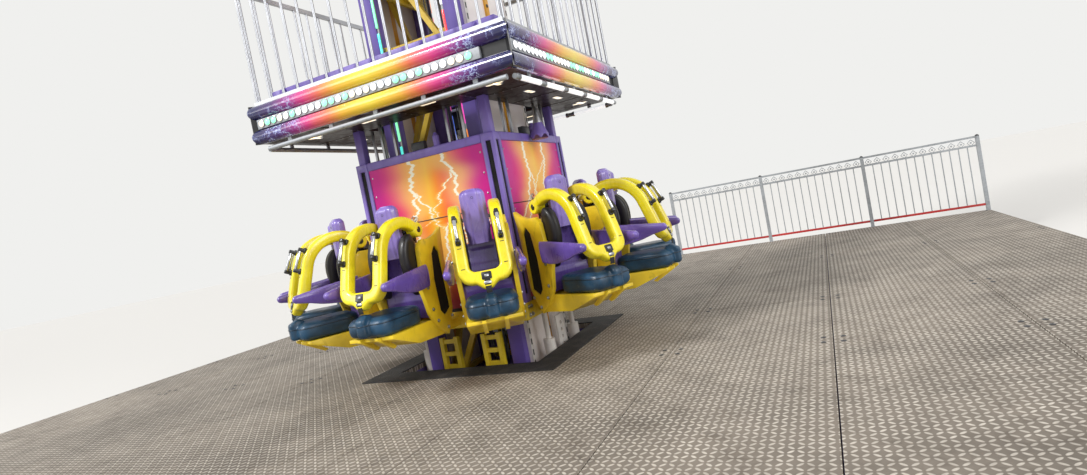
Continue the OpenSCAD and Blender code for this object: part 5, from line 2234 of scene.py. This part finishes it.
    def housing(self) -> None:
        """Turns the dark pivot housing and hangs two lock rods and two hoses down behind the back."""
        x, _, z = self.pivot
        half, axle_half = 0.102, 0.198
        knee_x, knee_z = 1.225, 1.36
        drum = ((0.03, 0.0), (0.048, 0.002), (0.057, 0.012), (0.06, 0.03), (0.06, 2 * half - 0.03),
                (0.057, 2 * half - 0.012), (0.048, 2 * half - 0.002), (0.03, 2 * half))
        arm = ((-0.115, -0.105), (-0.02, -0.105), (-0.005, -0.03), (-0.005, 0.0), (-0.04, 0.035), (-0.09, 0.02),
               (-0.115, -0.02))
        made = Shape().lathe(drum, basis((x, -half, z), (0, 0, 1), (1, 0, 0)), 28)
        made.prism(arm, 0.16, upright(x, 0.08, z), 0.006)
        made.paint(1).rod((x, -axle_half, z), (x, axle_half, z), 0.0148, 16)
        for side in (-1, 1):
            y = side * 0.09
            hose = [(x - 0.06, y * 0.6, z - 0.1), (1.2, y * 0.5, 1.55), (1.188, y * 0.45, 1.4),
                    (1.2, y * 0.5, 1.2), (1.195, y * 0.5, 1.04)]
            made.paint(1).rod((x - 0.055, y, z - 0.06), (knee_x, y, knee_z), 0.009, 8)
            made.rod((knee_x, y, knee_z), (1.205, y * 0.95, 1.02), 0.008, 8)
            made.paint(0).block((1.205, y - 0.014, 1.3), (1.243, y + 0.014, 1.39), 0.004)
            made.block((x - 0.075, y - 0.015, z - 0.09), (x - 0.04, y + 0.015, z - 0.045), 0.004)
            made.tube(hose, 0.007, 8)
        made.repeat(seat_turns())
        made.piece("pivot_mechanisms", "gondola", "machine_black", (BLACK_TRIM, STEEL), ("pivot_housings",))

    def frame_details(self) -> None:
        """Fills the slots of the side plates with near-black plates, painted shadow where the slots are open, and
        bolts the plates to the seat base.
        """
        slot_y, plate_y = 0.229, 0.241
        shadow_plates, heads = Shape(), []
        for side in (-1, 1):
            shadow_plates.prism(self.frame_slot, 0.006, upright(0, side * slot_y + 0.003, 0))
            heads += [basis((x, side * plate_y, z), (-side, 0, 0), (0, 0, 1)) for x, z in self.frame_bolts]
        shadow_plates.repeat(seat_turns())
        shadow_plates.piece("frame_slot_liners", "gondola", "machine_black", (SHADOW,))
        places = [turn @ head for turn in seat_turns() for head in heads]
        FITTINGS.spread("frame_bolts", "gondola", "bright_steel", hex_bolt(0.02, 0.012), places, STEEL)


@dataclass
class Harness:
    """One shoulder harness: a closed U of glossy band that hooks over both shoulders from its pivot."""

    pivot: Point = (1.285, 1.77)
    bend: float = 0.285
    bend_from: float = 133.0
    lap: Point = (1.85, 1.34)
    outer: float = 0.2
    band: float = 0.09
    thick: float = 0.094
    lap_thinner: float = 0.006
    corner_out: float = 0.105
    corner_in: float = 0.045
    tip: float = 0.045
    handle_at: float = 24.0
    seams_at: tuple[float, ...] = (0.3, 0.78)
    strap_half: float = 0.021
    strap_thick: float = 0.0036
    strap_end: tuple[Point, ...] = ((1.906, 0, 1.247), (1.902, 0, 1.231))
    sides: int = 26

    def __post_init__(self) -> None:
        """Works out the arm's lean and length from the pivot, the bend and the lap bar."""
        start = math.radians(self.bend_from)
        self.middle = Vector(self.pivot) - self.bend * Vector((math.cos(start), math.sin(start)))
        drop = Vector(self.lap) - self.middle
        self.run = math.sqrt(drop.length ** 2 - self.bend ** 2)
        self.lean = math.atan2(drop.x, -drop.y) - math.asin(self.bend / drop.length)
        self.hub = Vector((self.middle.x, 0, self.middle.y))
        self.out, self.down = self.facing(math.degrees(self.lean))
        self.start = self.hub + self.out * self.bend

    def facing(self, angle: float) -> tuple[Vector, Vector]:
        """The outward and the downward way at an angle of the bend, in degrees."""
        a = math.radians(angle)
        return Vector((math.cos(a), 0, math.sin(a))), Vector((math.sin(a), 0, -math.cos(a)))

    def fitted(self, where: Vector, out: Vector, down: Vector) -> Matrix:
        """A place for a plate on the band.

        Args:
            where: The plate's middle.
            out: The way that the band faces there.
            down: The way along the band.

        Returns:
            The place, with its Z axis along the way that the band faces.
        """
        flip = Vector((0, 1, 0)).cross(down).dot(out) <= 0
        return basis(where, (0, 1, 0), down) @ (Matrix.Rotation(math.pi, 4, "X") if flip else Matrix())

    def ring(self, inner: Vector, outer: Vector, out: Vector, thick: float) -> list[Vector]:
        """One section of the band between its inner and outer edge.

        Args:
            inner: The point on the inner edge.
            outer: The point on the outer edge.
            out: The way that the band faces.
            thick: Its thickness.

        Returns:
            The section's points, all the way round.
        """
        middle, reach = (inner + outer) / 2, (outer - inner) / 2
        return [middle + reach * power(math.cos(a), 0.5) + out * (thick / 2 * power(math.sin(a), 0.58))
                for a in turns(self.sides)]

    def across(self, y_in: float, y_out: float, down_in: float, down_out: float, thick: float) -> list[Vector]:
        """One section in the plane of the arms.

        Args:
            y_in: The inner edge's distance from the seat's middle.
            y_out: The outer edge's distance from the seat's middle.
            down_in: How far the inner edge lies below the arm's start.
            down_out: How far the outer edge lies below the arm's start.
            thick: The band's thickness.

        Returns:
            The section's points.
        """
        inner, outer = (Vector((0, y, 0)) + self.down * drop for y, drop in ((y_in, down_in), (y_out, down_out)))
        return self.ring(self.start + inner, self.start + outer, self.out, thick)

    def half_band(self) -> list[list[Vector]]:
        """The sections from the pivot eye on the +Y side to the middle of the lap bar.

        Returns:
            The sections.
        """
        wide, near = Vector((0, self.outer, 0)), Vector((0, self.outer - self.band, 0))
        top, half = math.degrees(self.lean), self.band / 2
        centre_out, centre_in = self.outer - self.corner_out, self.outer - self.band - self.corner_in
        rings = []
        for k in range(23):
            way, _ = self.facing(self.bend_from + (top - self.bend_from) * k / 22)
            here = self.hub + way * self.bend
            rings.append(self.ring(here + near, here + wide, way, self.thick * (0.9 + 0.1 * ease(k, 0, 6))))
        arm_end = self.run - self.corner_out + half
        for k in range(1, 9):
            drop = arm_end * k / 9
            rings.append(self.across(near.y, wide.y, drop, drop, self.thick))
        for k in range(9):
            angle = math.radians(90 * k / 8)
            cos, sin = math.cos(angle), math.sin(angle)
            rings.append(self.across(
                centre_in + self.corner_in * cos, centre_out + self.corner_out * cos,
                self.run - half - self.corner_in + self.corner_in * sin,
                self.run + half - self.corner_out + self.corner_out * sin, self.thick - self.lap_thinner * k / 8))
        for k in range(1, 12):
            share = 1 - k / 11
            swell = self.tip * ease(0.09 - centre_out * share, 0.0, 0.075)
            rings.append(self.across(centre_in * share, centre_out * share, self.run - half,
                                     self.run + half + swell, self.thick - self.lap_thinner))
        return rings

    def build(self, index: int) -> None:
        """Builds the harness of one seat.

        Args:
            index: The seat's number, from 0 on the +X side.
        """
        half = self.half_band()
        flip = Matrix.Scale(-1, 3, (0, 1, 0))
        other = [[flip @ p for p in ring] for ring in reversed(half[:-1])]
        made = Shape().loft(half + other)
        for side in (-1, 1):
            self.eye(made, side)
            self.handle(made, side)
            self.seams(made, side)
        self.latch(made)
        made.repeat([seat_turns()[index]])
        name = f"harness_{index + 1:02d}"
        made.piece(name + "_band", name, "harness_yellow",
                   (HARNESS_YELLOW, CHROME, BLACK_TRIM, WEBBING, STEEL), (name,), 45.0)

    def eye(self, made: Shape, side: int) -> None:
        """Adds the pivot eye at the end of one arm.

        Args:
            made: The harness in the making.
            side: The arm, -1 or 1.
        """
        (x, z), deep = self.pivot, self.band - 0.002
        hole, rim, soft = 0.0172, 0.0605, 0.009
        place = basis((x, side * (self.outer - self.band / 2) - self.band / 2 + 0.001, z), (0, 0, 1), (1, 0, 0))
        made.paint(0).lathe(((hole, 0.0), (0.052, 0.0), (rim, soft), (rim, deep - soft), (0.052, deep),
                             (hole, deep)), place, 32)
        cap = basis((x, side * (self.outer - 0.002), z), (0, 0, 1), (side, 0, 0))
        made.paint(2).lathe(((0.03, -0.002), (0.03, 0.0005), (0.02, 0.0018), (0.008, 0.002)), cap, 20)

    def handle(self, made: Shape, side: int) -> None:
        """Adds the chrome grab handle on the front of one arm, between its black end mounts.

        Args:
            made: The harness in the making.
            side: The arm, -1 or 1.
        """
        out, down = self.facing(self.handle_at)
        middle = self.hub + out * (self.bend + self.thick / 2) + Vector((0, side * (self.outer - self.band / 2), 0))
        stand_off, half, sunk = 0.034, 0.1, 0.016
        made.paint(1).rod(middle + down * half + out * stand_off, middle - down * half + out * stand_off, 0.0138, 18)
        made.paint(2)
        for end in (-1, 1):
            place = self.fitted(middle + down * (end * (half - 0.012)) - out * sunk, out, down)
            made.prism(rounded(0.04, 0.046, 0.012, 4), 0.022, place, 0.002)
            made.prism(rounded(0.0315, 0.032, 0.01, 4), 0.0655, place, 0.003)

    def seams(self, made: Shape, side: int) -> None:
        """Cuts the dark joints of the moulding across one arm, as thin dark inlays on its faces.

        Args:
            made: The harness in the making.
            side: The arm, -1 or 1.
        """
        y = side * (self.outer - self.band / 2)
        for share in self.seams_at:
            here = self.start + self.down * (self.run * share) + Vector((0, y, 0))
            place = self.fitted(here + self.out * (self.thick / 2 - 0.006), self.out, self.down)
            made.paint(2).prism(rounded(0.03, 0.006, 0.002, 2), 0.0066, place, 0.0005)

    def latch(self, made: Shape) -> None:
        """Adds the black latch plate in the lap bar's middle, and the strap with its tongue below it.

        Args:
            made: The harness in the making.
        """
        out, down = self.out, self.down
        middle = self.start + down * self.run
        face = middle + out * (self.thick / 2 - 0.002)
        place = self.fitted(middle + out * (self.thick / 2 - 0.008), out, down)
        made.paint(2).prism(rounded(0.072, 0.056, 0.008, 3), 0.0095, place, 0.002)
        made.paint(4).prism(rounded(0.03, 0.02, 0.004, 3), 0.013, place, 0.002)
        route = [face + down * 0.02, face + down * 0.05, face - out * 0.012 + down * 0.085,
                 *(Vector(point) for point in self.strap_end)]
        rings = []
        for k, here in enumerate(route):
            way = (route[min(k + 1, len(route) - 1)] - route[max(k - 1, 0)]).normalized()
            over = Vector((0, 1, 0)).cross(way).normalized() * (self.strap_thick / 2)
            rings.append([here + over * a + Vector((0, self.strap_half * b, 0))
                          for a, b in SQUARE])
        made.paint(3).loft(rings)
        buckle = self.fitted(route[1] + out * 0.001, out, down)
        made.paint(4).prism(rounded(0.052, 0.02, 0.004, 3), 0.004, buckle, 0.001)


@dataclass
class Ride:
    """The whole ride, in the order in which its sub-assemblies are built."""

    def build(self) -> None:
        """Builds every sub-assembly."""
        for part in (Deck(), Tower(), Carrier(), Canopy(), Seat()):
            part.build()
        harness = Harness()
        for index in range(SEATS):
            harness.build(index)


def main() -> None:
    """Sets the camera and the room, and builds the ride."""
    logging.basicConfig(level=logging.INFO, format="%(name)s: %(message)s")
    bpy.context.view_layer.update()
    bpy.context.scene.view_settings.view_transform = "Standard"
    studio = Studio()
    studio.camera()
    Ride().build()
    studio.room()


if __name__ == "__main__":
    main()
